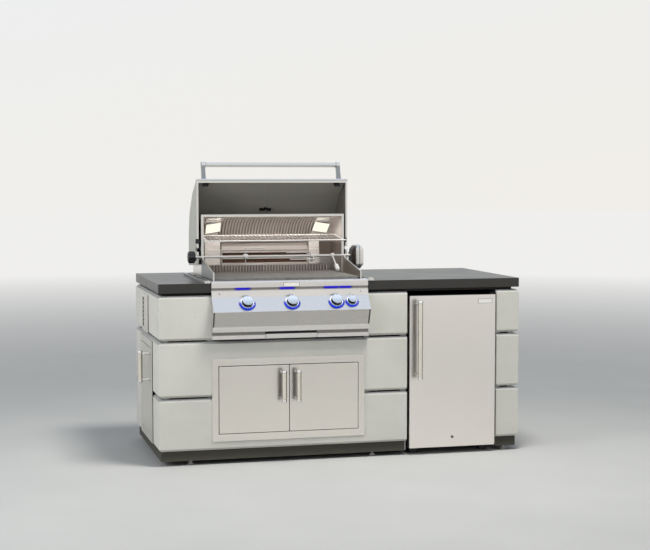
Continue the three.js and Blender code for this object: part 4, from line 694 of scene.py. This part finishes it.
def in_tub(centre, normal):
    across = abs(centre.x - grill_x)
    if across < tub_half - 0.0001 and centre.y > -0.3565 and 0.7 < centre.z < guard_foot:
        return 1
    if centre.z > guard_foot and normal.x < -0.9 and centre.x < grill_x - tub_half:
        return 3
    return 2 if across < tub_half and centre.z > guard_foot else 0


refined("firebox", [outer_steel, tub_steel, guard_steel, shade_steel], 0.0008, 2, in_tub)
# Each slot is a thin near-black pad on the flange, painting the shade in the slot.
rail_slot_shades = []
for x in (grill_x - 0.4465, grill_x + 0.4465):
    for index in range(14):
        y = -0.372 + index * 0.0445
        rail_slot_shades.append(block((x - 0.0095, y, 0.9756), (x + 0.0095, y + 0.031, 0.9764), 0.0003))
shown("hanger_rail_slot_shades", together(rail_slot_shades), joint_dark_and_shade)


# Rear housing
# A curved back sheet between two side walls, framed at its mouth. A corrugated liner
# stands in front of the back sheet and throws the heat forward.
pivot = Vector((grill_x, 0.0328, 1.072))


def spoke(centre):
    """The way from the hood's pivot line straight out to a point."""
    return Vector((0, centre.y - pivot.y, centre.z - pivot.z))


def in_housing(centre, normal):
    inward = spoke(centre).length < 0.2325 and centre.y > 0.0025
    return 1 if inward and abs(centre.x - grill_x) < tub_half else 0


refined("rear_housing", [outer_steel, inner_steel], 0.0008, 2, in_housing)


def sheet_grid(columns, rows, front, back):
    """A closed sheet from two point functions of a column and a row."""
    shape = bmesh.new()
    near, far = [[[shape.verts.new(place(i, j)) for j in range(rows)] for i in range(columns)]
                 for place in (front, back)]
    for layer in (near, far):
        for i in range(columns - 1):
            for j in range(rows - 1):
                shape.faces.new((layer[i][j], layer[i + 1][j], layer[i + 1][j + 1], layer[i][j + 1]))
    rim = [(i, 0) for i in range(columns)] + [(columns - 1, j) for j in range(1, rows)]
    rim += [(i, rows - 1) for i in range(columns - 2, -1, -1)] + [(0, j) for j in range(rows - 2, 0, -1)]
    for (a, b), (c, d) in zip(rim, rim[1:] + rim[:1]):
        shape.faces.new((near[a][b], near[c][d], far[c][d], far[a][b]))
    bmesh.ops.recalc_face_normals(shape, faces=shape.faces)
    return shape


pitch, wave_steps, lower_waves = 0.017, 8, 43
upper_half, upper_rows, upper_low, upper_high = 0.272, 12, 32.4, 80.7
upper_columns = round(2 * upper_half / pitch) * wave_steps + 1


def wave(i):
    return 0.0026 * math.cos(math.tau * i / wave_steps)


def on_upper(i, j, radius):
    """A place on the upper liner, which follows the housing's curve."""
    angle = math.radians(upper_low + (upper_high - upper_low) * j / (upper_rows - 1))
    x = grill_x - upper_half + 2 * upper_half * i / (upper_columns - 1)
    return Vector((x, pivot.y + radius * math.cos(angle), pivot.z + radius * math.sin(angle)))


def on_lower(i, j, y):
    return Vector((grill_x + pitch * (i / wave_steps - lower_waves / 2), y, 0.9785 + 0.0375 * j))


liner_steel = brushed("corrugated_liner_steel", None, (30, 30, 30), 0.34, metallic=0.35)
# Painted shade: a dark tone runs with the corrugation's waves, broken a little by noise.
liner_phase = (liner_steel.axis("X") - grill_x) * (math.tau / pitch)
liner_ridge = liner_phase.sum_of("COSINE", liner_phase) * 0.5 + 0.5
liner_rib_shade = liner_steel.noise(5, 3, liner_steel.at(3, 1, 1)) * 0.25 + liner_ridge * 0.75
liner_steel.colour(liner_rib_shade.within(0.2, 0.9), (178, 171, 165), (116, 107, 101))
upper_liner = sheet_grid(upper_columns, upper_rows, lambda i, j: on_upper(i, j, 0.2262 + wave(i)),
                         lambda i, j: on_upper(i, j, 0.2312))
shown("ribbed_liner_upper", upper_liner, liner_steel, "root", (), 60)
lower_liner = sheet_grid(lower_waves * wave_steps + 1, 2, lambda i, j: on_lower(i, j, 0.219 - wave(i)),
                         lambda i, j: on_lower(i, j, 0.2235))
shown("ribbed_liner_lower", lower_liner, liner_steel, "root", (), 60)


# Rear burner
# A pan of folded stainless on the back sheet. Its face has a slanted shield over two long
# slots, and brown ceramic tiles glow behind them when the gas burns.
tile = Finish("brown_ceramic_tile", roughness=0.9)
tile_cells = tile.cells(160)
tile.colour(tile_cells.within(0.1, 0.5), (34, 22, 17), (104, 76, 60))
tile.dent(tile_cells, 0.0006, 0.5)
pan_low, pan_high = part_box("rear_burner")
pan_x0, pan_x1, pan_y = pan_low.x, pan_high.x, pan_low.y
slots, tile_count, flange = ((1.031, 1.052), (1.069, 1.088)), 42, 0.006
burner = []
for z0, z1, depth in ((pan_low.z, slots[0][0], 0.006), (slots[0][1], slots[1][0], 0.006),
                      (slots[1][1], 1.098, 0.01), (pan_high.z - 0.007, pan_high.z, 0.03)):
    burner.append(block((pan_x0, pan_y, z0), (pan_x1, pan_y + depth, z1), 0.0012))
for x in (pan_x0, pan_x1 - flange):
    burner.append(block((x, pan_y + 0.0005, pan_low.z), (x + flange, pan_y + 0.0185, pan_high.z), 0.0012))
shield = block((pan_x0 + 0.004, -0.001, 0), (pan_x1 - 0.004, 0.001, 0.052), 0.0006)
burner.append(moved(shield, turn(-14, "X"), shift(0, pan_y + 0.003, 1.0965)))
for inset, y0, y1, z0, z1 in ((flange, 0.0012, 0.003, 1.0985, 1.1015), (0.004, 0.012, 0.018, 1.02, 1.092)):
    burner.append(kind(1, block((pan_x0 + inset, pan_y + y0, z0), (pan_x1 - inset, pan_y + y1, z1))))
for z0, z1 in slots:
    for index in range(1, tile_count):
        x = pan_x0 + (pan_x1 - pan_x0) * index / tile_count
        web = block((x - 0.0009, pan_y + 0.0062, z0 - 0.001), (x + 0.0009, pan_y + 0.009, z1 + 0.001))
        burner.append(kind(1, web))
# Above a height of 1.122 to 1.13 m the pan is painted darker, for the dark hood's reflection.
burner_steel = brushed("burner_pan_stainless", None, (5, 400, 400), 0.4, metallic=0.45)
burner_steel.set("Base Color", burner_steel.mix(
    burner_steel.axis("Z").within(1.122, 1.13),
    burner_steel.tones(burner_steel.line, (196, 187, 180), (216, 208, 201)), tone(160, 150, 142)))
instead_of("rear_burner", together(burner), [burner_steel, tile])
cover_steel = brushed("burner_cover_stainless", ((232, 224, 217), (248, 242, 236)), (5, 400, 400), 0.4,
                      metallic=0.45)
covers = []
for x0, x1 in ((pan_x0 - 0.096, pan_x0 - 0.006), (pan_x1 + 0.004, pan_x1 + 0.066)):
    covers.append(block((x0, pan_y - 0.003, 1.02), (x1, pan_y + 0.012, 1.108), 0.0015))
    covers.append(block((x0, pan_y + 0.001, 1.1075), (x1, pan_y + 0.014, 1.154), 0.0015))
# A near-black block in the gap beside the left cover paints the shade there.
gap = block((pan_x0 - 0.0062, pan_y + 0.0035, 1.108), (pan_x0 + 0.0005, pan_y + 0.0125, 1.15), 0.0004)
shown("burner_end_covers", together(covers + [kind(1, gap)]), [cover_steel, joint_dark_and_shade], "root")


# Lamps
# Two halogen lamps lie against the curved liner. Each has a pressed chrome rim round a
# slightly domed frosted lens, and both are lit.
glow = Finish("lit_lamp_lens", roughness=0.3, specular_ior_level=0.1, emission_strength=1.0)
glow_middle = glow.noise(14, 2)
glow.colour(glow_middle, (60, 58, 50), (70, 68, 60))
glow.set("Emission Color", glow.mix(glow_middle, (0.98, 0.93, 0.76), (1.0, 0.97, 0.86)))
lamp_x = 0.316
for node, x in (("lamp_left", -lamp_x), ("lamp_right", lamp_x)):
    away = (x * 0.4, 0.3, 0.26)
    area_lamp(node + "_shine", (grill_x + x, 0.16, 1.222), away, 0.07, 0.13, (1, 0.94, 0.88))
    rim = ring_plate((-0.0455, 0.2119, -0.0415), (0.0455, 0.2195, 0.0415), 0.0026, 0.001)
    case = block((-0.0445, 0.2185, -0.0405), (0.0445, 0.231, 0.0405), 0.003)
    lens = block((-0.0435, 0.2128, -0.0395), (0.0435, 0.219, 0.0395), 0.0018, 3)
    lamp = together([rim, case, kind(1, lens)])
    moved(lamp, shift(0, -0.216, 0), turn(40.5 * x, "Y"), turn(46, "X"), turn(math.copysign(13, -x), "Z"),
          shift(grill_x + x * 0.9937 + 0.004, pivot.y + 0.1405, pivot.z + 0.1619))
    instead_of(node, lamp, [polish, glow])
fill = area_lamp("bounced_lamp_light", (grill_x, -0.03, 1.262), (0, -0.9, 0.42), 0.7, 1.15, (1, 0.94, 0.89))
fill.shape = "RECTANGLE"
fill.size_y = 0.1
fill.spread = math.radians(120)


def on_lamp_hood(i, j, radius):
    angle = math.radians(61 + 2.6 * j)
    return Vector(((i - 0.5) * 0.084, radius * math.cos(angle), radius * math.sin(angle)))


lamp_hoods = []
for x in (-lamp_x, lamp_x):
    lamp_hood = sheet_grid(2, 9, lambda i, j: on_lamp_hood(i, j, 0.2205),
                           lambda i, j: on_lamp_hood(i, j, 0.2225))
    lamp_hoods.append(moved(lamp_hood, shift(grill_x + x, pivot.y, pivot.z)))
# Their near-white tone paints the lamps' highlight on the pressed steel.
hood_shine = mottled("lamp_hood_steel_painted_highlight", (30, 3), (226, 222, 218), (255, 252, 248), metallic=0.5,
                     roughness=0.2)
shown("lamp_hoods", together(lamp_hoods), hood_shine, "root", (), 60)


# Warming rack
# Two stainless rails joined by end wires, with a bent wire that zigzags between them.
# The ends of the rails rest in the grill's side walls, above the rear burner.
wire_steel = mottled("rack_wire_steel", (90, 3), (112, 107, 103), (146, 141, 137), metallic=0.45,
                     roughness=0.42)
front_y, back_y, front_z, back_z = -0.0567, 0.1073, 1.168, 1.191
zigzag_half, zigzag_count = 0.381, 66
rack = [rod_x(grill_x - half, grill_x + half, y, z, 0.004, 20, 0.001)
        for half, y, z in ((0.403, front_y, front_z), (0.39, back_y, back_z))]
for x in (grill_x - 0.386, grill_x + 0.386):
    rack.append(bar((x, front_y, front_z), (x, back_y, back_z), 0.0038, 16))
rack = [kind(1, wire) for wire in rack]
for index in range(zigzag_count):
    ends = [grill_x - zigzag_half + step * 2 * zigzag_half / zigzag_count for step in (index, index + 1)]
    first, last = ends[::-1] if index % 2 else ends
    rack.append(bar((first, front_y, front_z), (last, back_y, back_z), 0.0023, 10))
rail_steel = brushed("rack_rail_steel", ((212, 207, 202), (230, 226, 221)), (6, 400, 400), 0.34,
                     metallic=0.45)
instead_of("warming_rack", together(rack), [wire_steel, rail_steel])


# Burners, tamers and grates
# Cast burner tubes with drilled ports lie under folded roofs that spread the flame. The
# grates over them are stainless rods on two cross bars, browned a little by the heat.
iron = mottled("burner_cast_metal", (40, 5), (86, 80, 74), (128, 118, 106), (0.3, 0.4), (0.0005, 0.4),
               metallic=0.8)
refined("burner_set", iron, 0.0008)
refined("flame_tamers", tub_steel, 0.0006)
grate_steel = mottled("browned_grate_steel", (9, 4), (118, 116, 112), (176, 174, 169),
                      stretch=(8, 3, 8), metallic=0.6, roughness=0.4)
grate_low, grate_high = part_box("cooking_grates")
grate_rod, grate_gaps = 0.0045, 47
grates = []
for index in range(grate_gaps + 1):
    x = grate_low.x + grate_rod + (grate_high.x - grate_low.x - 2 * grate_rod) * index / grate_gaps
    z = grate_high.z - 0.0046
    grates.append(bar((x, grate_low.y, z), (x, grate_high.y, z), grate_rod, 12, 0.001))
for share in (0.02, 0.5, 0.98):
    y = grate_low.y + (grate_high.y - grate_low.y) * share
    for x0, x1 in ((grate_low.x, grill_x - 0.002), (grill_x + 0.002, grate_high.x)):
        grates.append(rod_x(x0, x1, y, grate_high.z - 0.011, grate_rod, 12, 0.001))
instead_of("cooking_grates", together(grates), grate_steel)


# Gas manifold
# A steel pipe runs across behind the console. It is threaded for a brass valve at each
# knob, whose stem reaches up through the slope.
brass = mottled("valve_brass", (30, 4), (166, 134, 76), (204, 172, 108), (0.2, 0.22), metallic=1.0)
refined("gas_manifold", brass, 0.0008)


# Control console
# One folded stainless sheet between two end plates: a top band, a light groove, a second
# band, a leaning slope with the knobs, a face that tucks back, and a slot for the tray.
slope_seat = Vector((grill_x, -0.4508, 0.857))
slope_lean = turn(51.53, "X")
big_knob, small_knob = (0.03, 0.0298, 0.038, 0.038, 0.035), (0.023, 0.0228, 0.034, 0.031, 0.0282)
knobs = [(slope_seat + Vector((x, 0, 0)), *sizes)
         for x, sizes in ((-0.242, big_knob), (0, big_knob), (0.243, big_knob), (0.329, small_knob))]
strip_spans = ((-0.5576, -0.4851), (-0.3176, -0.2437), (-0.0758, -0.0011), (0.0101, 0.0688))
strip_z = 0.9315
console_steel = brushed("console_brushed_stainless", None, along_x, 0.28)
console_z = console_steel.axis("Z")
console_x = console_steel.axis("X")
# Painted shade on faces that look to the front: the groove under the top band, the tray slot, the slope, the
# face band and the end plates.
groove = console_z.within(0.921, 0.927) - console_z.within(0.9372, 0.9384)
tray_slot = console_z.within(0.686, 0.689) - console_z.within(0.7055, 0.7075)
slope = (console_z > 0.8155) * (console_z < 0.888)
face_band = (console_z < 0.8135) * (console_z > 0.7335)
end_plates = abs(console_x - grill_x) > 0.4185
shade = groove * 0.75 + tray_slot * 0.8 + slope * 0.045 + face_band * (end_plates * 0.6 + 0.36)
shade = shade * (console_steel.axis("Y", "Normal") < -0.4)
blue_glow = 0
# Under each knob the steel gets a painted shadow and a painted blue glow from its ring.
for seat, base, cap, tall, bezel, ring in knobs:
    away = console_steel.distance(seat)
    below = (seat.z + 0.012 - console_z).within(0, 0.016)
    blue_glow = (1 - away.within(bezel + 0.0035, bezel + 0.01)) * below + blue_glow
    shade = shade + (1 - away.within(bezel + 0.0045, bezel + 0.0105)) * below * 1.2
# Round each light strip the steel gets painted shade and a painted blue glow.
for x0, x1 in strip_spans:
    across = 1 - (abs(console_x - (x0 + x1) / 2) - (x1 - x0) / 2).within(-0.004, 0.012)
    bloom = across * (1 - abs(console_z - strip_z).within(0.003, 0.012)) * 0.7
    shade = shade + bloom
    blue_glow = bloom + blue_glow
plain_steel = console_steel.tones(console_steel.line, (234, 230, 226), (241, 237, 234))
console_steel.set("Base Color", console_steel.mix(shade.within(0, 1), plain_steel, tone(84, 80, 76)))
console_steel.shader.inputs["Emission Strength"].default_value = 1.0
console_steel.set("Emission Color", console_steel.mix(
    blue_glow.within(0, 1), (0.0, 0.0, 0.0), (0.006, 0.028, 0.56)))
bezel_steel = Finish("lit_bezel", metallic=0.4, roughness=0.25, emission_strength=1.0)
bezel_z = bezel_steel.axis("Z")
bezel_blue = 0
for seat, base, cap, tall, bezel, ring in knobs:
    away = bezel_steel.distance(seat)
    below = (seat.z + 0.014 - bezel_z).within(0, 0.012)
    bezel_blue = (away > ring) * (away < ring + 0.01) * below + bezel_blue
bezel_blue = bezel_blue.within(0, 1)
bezel_steel.set("Base Color", bezel_steel.mix(bezel_blue, tone(246, 249, 252), (0.004, 0.01, 0.14)))
bezel_steel.set("Emission Color", bezel_steel.mix(bezel_blue, (0.0, 0.0, 0.0), (0.01, 0.045, 0.6)))


def on_bezel(centre, normal):
    for seat, base, cap, tall, bezel, ring in knobs:
        offset = slope_lean.inverted() @ (centre - seat)
        if math.hypot(offset.x, offset.y) < bezel + 0.001 and offset.z > 0.0004:
            return 1
    return 0


console = from_frame("control_panel", on_bezel)
top_edge = [e for e in console.edges if all(v.co.z > 0.9725 and v.co.y < -0.424 for v in e.verts)
            and e.calc_length() > 0.8]
bmesh.ops.bevel(console, geom=top_edge, offset=0.009, segments=6, profile=0.5, affect="EDGES",
                clamp_overlap=False, material=-1)
eased(console, 0.0011, longest=0.05)
instead_of("control_panel", console, [console_steel, bezel_steel])
light = Finish("blue_light_strip", roughness=0.7, specular_ior_level=0.1, emission_strength=1.0)
light_core = light.noise(8, 2)
light.set("Base Color", light.mix(light_core, (0.002, 0.002, 0.06), (0.004, 0.003, 0.09)))
light.set("Emission Color", light.mix(light_core, (0.016, 0.008, 0.46), (0.024, 0.012, 0.56)))
for index, (x0, x1) in enumerate(strip_spans):
    strip = rod_x(x0, x1, -0.4178, strip_z, 0.0045, 20, 0.003)
    shown(f"light_strip_{index + 1}", strip, light, "root")
bare_plate("console_bare_plate", (-0.302, -0.4256, 0.9388), (-0.215, -0.4243, 0.9632), "root")
band_lean = turn(93.6, "X")
for name, x in (("left", -0.648), ("right", 0.124)):
    head = turned([(0.0055, 0), (0.0053, 0.0012), (0.004, 0.0024), (0.0016, 0.0029), (0.0012, 0.0018)], 24)
    moved(head, band_lean, shift(x, -0.4249, 0.908))
    shown(f"console_screw_{name}", head, polish, "root")
marks = []
for seat, *sizes in knobs:
    dot = turned([(0.0016, 0), (0.0013, 0.0004)], 16)
    marks.append(moved(dot, band_lean, shift(seat.x - 0.005, -0.4262, 0.8975)))
for x in (-0.682, 0.158):
    marks.append(block((x - 0.004, -0.4252, 0.715), (x + 0.004, -0.4243, 0.723), 0.0004))
shown("console_marks", together(marks), joint_dark_and_shade, "root")


# Knobs
# Each knob is a plated metal casting: a flange, a fluted skirt painted dark as shade and a polished
# domed cap with a pointer. A bezel stands round it on the slope, inside a ring of blue light.
def loft(rings):
    """A closed shape through rings that have the same number of points."""
    shape = bmesh.new()
    loops = [[shape.verts.new(point) for point in ring] for ring in rings]
    for first, second in zip(loops, loops[1:]):
        for index in range(len(first)):
            after = (index + 1) % len(first)
            shape.faces.new((first[index], first[after], second[after], second[index]))
    shape.faces.new(loops[0])
    shape.faces.new(loops[-1])
    bmesh.ops.recalc_face_normals(shape, faces=shape.faces)
    return shape


def round_ring(radius, z, count, lobes, depth):
    """Points round Z; lobes cut into the radius by a depth."""
    points = []
    for index in range(count):
        angle = math.tau * index / count
        reach = radius - depth * (0.5 - 0.5 * math.cos(lobes * angle))
        points.append((reach * math.cos(angle), reach * math.sin(angle), z))
    return points


# The skirt is painted near black as its shade; the pointer shares this finish.
skirt_shade_and_pointer = mottled("fluted_skirt_shade_and_pointer", (50, 3), (10, 9, 8), (22, 20, 18), roughness=0.7,
                      specular_ior_level=0.08)
cap_shine = Finish("plated_knob_cap", metallic=1.0)
cap_haze = cap_shine.noise(90, 3)
# Painted shade: the cap's lower part turns bluish-grey, so that it reads as a dome.
cap_lower_shade = (0.884 - cap_shine.axis("Z")).within(0.0, 0.022)
cap_tones = cap_shine.tones(cap_haze, (248, 251, 253), (255, 255, 255))
cap_shine.set("Base Color", cap_shine.mix(cap_lower_shade, cap_tones, tone(206, 216, 226)))
cap_shine.set("Roughness", cap_haze * 0.06 + 0.14)
dome_shares = ((0.95, 0.71), (0.99, 0.73), (1, 0.76), (0.985, 0.8), (0.94, 0.85), (0.86, 0.895),
               (0.74, 0.935), (0.58, 0.967), (0.38, 0.987), (0.18, 0.998), (0, 1))
for index, (seat, base, cap, tall, bezel, ring) in enumerate(knobs):
    band = tall * 0.2
    flange = turned([(0.0064, -0.0088), (0.0064, 0.0006), (base - 0.001, 0.0006), (base, 0.0016),
                     (base, band - 0.0025), (base - 0.0018, band - 0.0006), (base * 0.72, band)], 48)
    skirt_rings = ((0.93, band - 0.0005), (0.95, tall * 0.45), (0.99, tall * 0.68), (0.96, tall * 0.73))
    skirt = loft([round_ring(cap * share, z, 168, 28, 0.0012) for share, z in skirt_rings])
    dome = turned([(cap * share, tall * z) for share, z in dome_shares], 48)
    pointer = block((-0.0013, cap * 0.7, tall * 0.935), (0.0013, cap * 0.9, tall * 0.972), 0.0004)
    knob = together([flange, kind(1, skirt), dome, kind(1, pointer)])
    instead_of(f"knob_{index + 1}", moved(knob, slope_lean, shift(*seat)), [cap_shine, skirt_shade_and_pointer])


# Hood shell
# A folded and welded stainless lid that swings on two pins; its inside is dull and dark.
# Painted shade darkens its side walls, inside and out.
# It has rubber bumpers under the lip, guide blocks on its front edges and a thin seam.
hood_inside = Finish("dull_hood_inside", metallic=0.2)
hood_haze = hood_inside.noise(1.6, 4, rough=0.6)
hood_line = hood_inside.noise(1, 4, hood_inside.at(5, 160, 160))
hood_inside.colour(hood_haze * 0.7 + hood_line * 0.3, (158, 154, 146), (182, 177, 168))
hood_inside.set("Roughness", hood_haze * 0.15 + hood_line * 0.1 + 0.38)
hood_inside.dent(hood_line, 0.0001, 0.3)
# A darker tone for the inner side walls, as painted shade.
hood_wall_shade = mottled("dull_hood_wall", (2, 4), (96, 92, 86), (114, 109, 102), metallic=0.2, roughness=0.45)


def in_hood(centre, normal):
    across = abs(centre.x - grill_x)
    if abs(normal.x) > 0.9:
        return 3 if across < 0.4215 else 2
    return 1 if spoke(centre).dot(normal) < 0 and across < 0.425 else 0


refined("hood_shell", [outer_steel, hood_inside, hood_side_shade, hood_wall_shade], 0.0014, 3, in_hood)
black = Finish("black_plastic", roughness=0.45)
black_grain = black.noise(500, 2)
black.colour(black.noise(20, 3), (15, 15, 16), (30, 30, 31))
black.set("Roughness", black_grain * 0.2 + 0.36)
black.dent(black_grain, 0.0001, 0.3)
hood_small = []
for side, guide_x0, guide_x1 in ((-1, -0.4385, -0.4145), (1, 0.4088, 0.4235)):
    x0, x1 = sorted((grill_x + side * 0.362, grill_x + side * 0.393))
    wedge = block((x0, 0.0176, 1.466), (x1, 0.0395, 1.4905), 0.003, 3)
    wedge_top = [vert for vert in wedge.verts if vert.co.z > 1.478]
    bmesh.ops.translate(wedge, vec=(side * -0.006, 0.01, 0), verts=wedge_top)
    guide = block((grill_x + guide_x0, 0.0012, 1.153), (grill_x + guide_x1, 0.0106, 1.179), 0.0025, 3)
    hood_small += [wedge, guide]
shown("hood_rubber_blocks", together(hood_small), black, "hood")
seam_points = [pivot + Vector(offset) for offset in
               ((-0.038, -0.0092, 0.4202), (-0.014, 0.1152, 0.3479), (0, 0.1766, 0.2781))]
seam = together([bar(start, end, 0.0019, 12) for start, end in zip(seam_points, seam_points[1:])])
shown("hood_inner_seam", seam, rail_steel, "hood")


# Hood handle
# A bent pair of cast horns carries a ground round bar, with a polished collar at each
# end of the bar.
refined("hood_handle", [outer_steel, shade_steel], 0.0016, 3,
        lambda centre, normal: 1 if abs(centre.x - grill_x) > 0.374 and centre.z < 1.582 else 0)
collars = [rod_x(grill_x + x, grill_x + x + 0.008, 0.0578, 1.5879, 0.0152, 36, 0.0015)
           for x in (-0.3765, 0.3685)]
shown("hood_handle_collars", together(collars), polish, "hood")


# Thermometer
# A dial on the hood's outside, its stem through the skin, and inside a black wing nut
# that clamps it. The dial's face is left blank.
dial_face = mottled("blank_dial_face", (4, 2), (226, 226, 222), (238, 238, 234), roughness=0.3)
nut_black = mottled("matt_black_nut", (60, 2), (5, 5, 5), (12, 12, 12), roughness=0.7,
                    specular_ior_level=0.15)
dial = [
    turned([(0.0368, 0.0004), (0.038, 0.002), (0.038, 0.0075), (0.0362, 0.0105),
            (0.0335, 0.0112), (0.0325, 0.0095), (0.0322, 0.0075)], 56),
    kind(1, disc(0.0323, 0.007, 0.0082, 56)),
    kind(2, block((-0.0008, -0.006, 0.008), (0.0008, 0.024, 0.0088), 0.0003)),
    kind(2, turned([(0.003, 0.008), (0.0026, 0.0098), (0, 0.01)], 24)),
    turned([(0.003, -0.0542), (0.004, -0.0528), (0.0042, -0.016), (0.0042, 0.0005)], 24),
    kind(3, turned([(0.009, -0.016), (0.0108, -0.0145), (0.0108, -0.009)], 28)),
]
for x in (-0.0195, 0.0195):
    wing = block((x - 0.0135, -0.0072, -0.0215), (x + 0.0135, 0.0072, -0.0095), 0.004, 3)
    for vert in wing.verts:
        vert.co.y *= 0.35 + 0.9 * abs(vert.co.x) / 0.033
    dial.append(kind(3, wing))
dial = moved(together(dial), turn(-48.67, "X"), shift(grill_x, 0.2254, 1.3455))
instead_of("hood_thermometer", dial, [polish, dial_face, black, nut_black])


# Rotisserie
# A ground rod with a lobed plastic handle lies in the guards' notches. Two forks clamp on
# it, and a weight on an arm balances the food.
spit_y, spit_z = -0.018187, 1.0795
rod_low, rod_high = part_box("spit_rod")
rod_steel = mottled("ground_rod_steel", (1, 4), (176, 173, 169), (206, 203, 200), stretch=(900, 6, 6),
                    metallic=0.35, roughness=0.45)
instead_of("spit_rod", rod_x(rod_low.x, rod_high.x, spit_y, spit_z, 0.0069, 28, 0.0015), rod_steel)
grip_low, grip_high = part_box("spit_handle")
grip_clear = 0.005
grip_length = grip_high.x - grip_low.x - grip_clear
grip_shares = ((0.6, 0), (0.8, 0.02), (0.93, 0.08), (0.99, 0.18), (1, 0.32), (0.98, 0.55), (0.99, 0.78),
               (0.92, 0.9), (0.76, 0.97), (0.55, 1))
grip = loft([round_ring(0.0335 * wide, grip_length * along, 96, 8, 0.0042 * wide)
             for wide, along in grip_shares])
instead_of("spit_handle", moved(grip, turn(90, "Y"), shift(grip_low.x + grip_clear, spit_y, spit_z)), black)
refined("spit_fork_left", rod_steel, 0.0003, 1)
refined("spit_fork_right", rod_steel, 0.0003, 1)
arm_way = Vector((0, -0.864, -0.504))
arm_root = Vector((0.073, spit_y, spit_z))
balance = [rod_x(arm_root.x - 0.01, arm_root.x + 0.01, spit_y, spit_z, 0.0139, 32, 0.0015)]
for start, end, radius, sides, ease in ((0.008, 0.102, 0.0035, 20, 0), (0.1, 0.152, 0.0125, 32, 0.002),
                                        (0.151, 0.157, 0.006, 20, 0.001)):
    balance.append(bar(arm_root + arm_way * start, arm_root + arm_way * end, radius, sides, ease))
balance.append(bar(arm_root + Vector((0, 0, 0.012)), arm_root + Vector((0, 0, 0.0139)), 0.0045, 16, 0.0008))
instead_of("counterbalance", together(balance), rod_steel)


# Rotisserie motor
# A gear motor in a two-part pressed case with rounded corners. It sits on a bracket
# plate that is screwed to the right hanger rail.
motor_low, motor_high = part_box("rotisserie_motor")
case_x0, case_x1 = motor_low.x + 0.006, motor_high.x
case_seam = case_x0 + 0.036
case_foot, case_corner, corner_steps = 1.005, 0.03, 8


def case_ring(x, inset):
    """The rounded outline of the case at a place along X, drawn in by an inset."""
    points = []
    back, front = motor_high.y - case_corner, motor_low.y + case_corner
    top, foot = motor_high.z - case_corner, case_foot + case_corner
    for y, z, start in ((back, top, 0), (front, top, 90), (front, foot, 180), (back, foot, 270)):
        for step in range(corner_steps + 1):
            angle = math.radians(start + step * 90 / corner_steps)
            reach = case_corner - inset
            points.append((x, y + reach * math.cos(angle), z + reach * math.sin(angle)))
    return points


left_steps = ((0.0005, 0.025), (0.003, 0.0225), (0.016, 0.006), (0.022, 0), (0.0346, 0),
              (0.0351, 0.003), (0.0369, 0.003), (0.0374, 0))
right_steps = ((0.021, 0), (0.018, 0.0014), (0.003, 0.019), (0.0006, 0.023), (0, 0.026))
motor_case = loft([case_ring(case_x0 + x, inset) for x, inset in left_steps]
                  + [case_ring(case_x1 - x, inset) for x, inset in right_steps])
# The case's left end and the bracket are painted dark as shade; the narrow band at the seam is a dark joint.
for face in motor_case.faces:
    x = face.calc_center_median().x
    face.material_index = 1 if x < case_x0 + 0.018 or abs(x - case_seam) < 0.0008 else 0
motor_shade_and_seam = mottled("motor_end_shade_and_seam", (14, 3), (38, 32, 29), (66, 56, 50), metallic=0.5, roughness=0.35)
shown("rotisserie_motor_case", motor_case, [outer_steel, motor_shade_and_seam], replaces=["rotisserie_motor"])
bracket = block((motor_low.x, -0.0472, motor_low.z), (case_x0 + 0.0006, 0.0228, 1.0975), 0.0015)
socket = turned([(0.017, 0), (0.017, 0.003), (0.012, 0.004)], 36)
moved(socket, turn(-90, "Y"), shift(motor_low.x + 0.0041, spit_y, spit_z))
shown("rotisserie_motor_bracket", together([bracket, kind(1, socket)]), [motor_shade_and_seam, black])


# Drip tray
# A shallow stainless pan that slides out under the firebox by its own front edge. The
# edge is rolled forward into a grip, painted near black as the shade in the console's slot.
refined("drip_tray", outer_steel, 0.0005)
tray_grip = block((-0.4, -0.4353, 0.6885), (-0.124, -0.4335, 0.6978), 0.0004)
shown("drip_tray_grip", tray_grip, joint_dark_and_shade, "drip_tray")
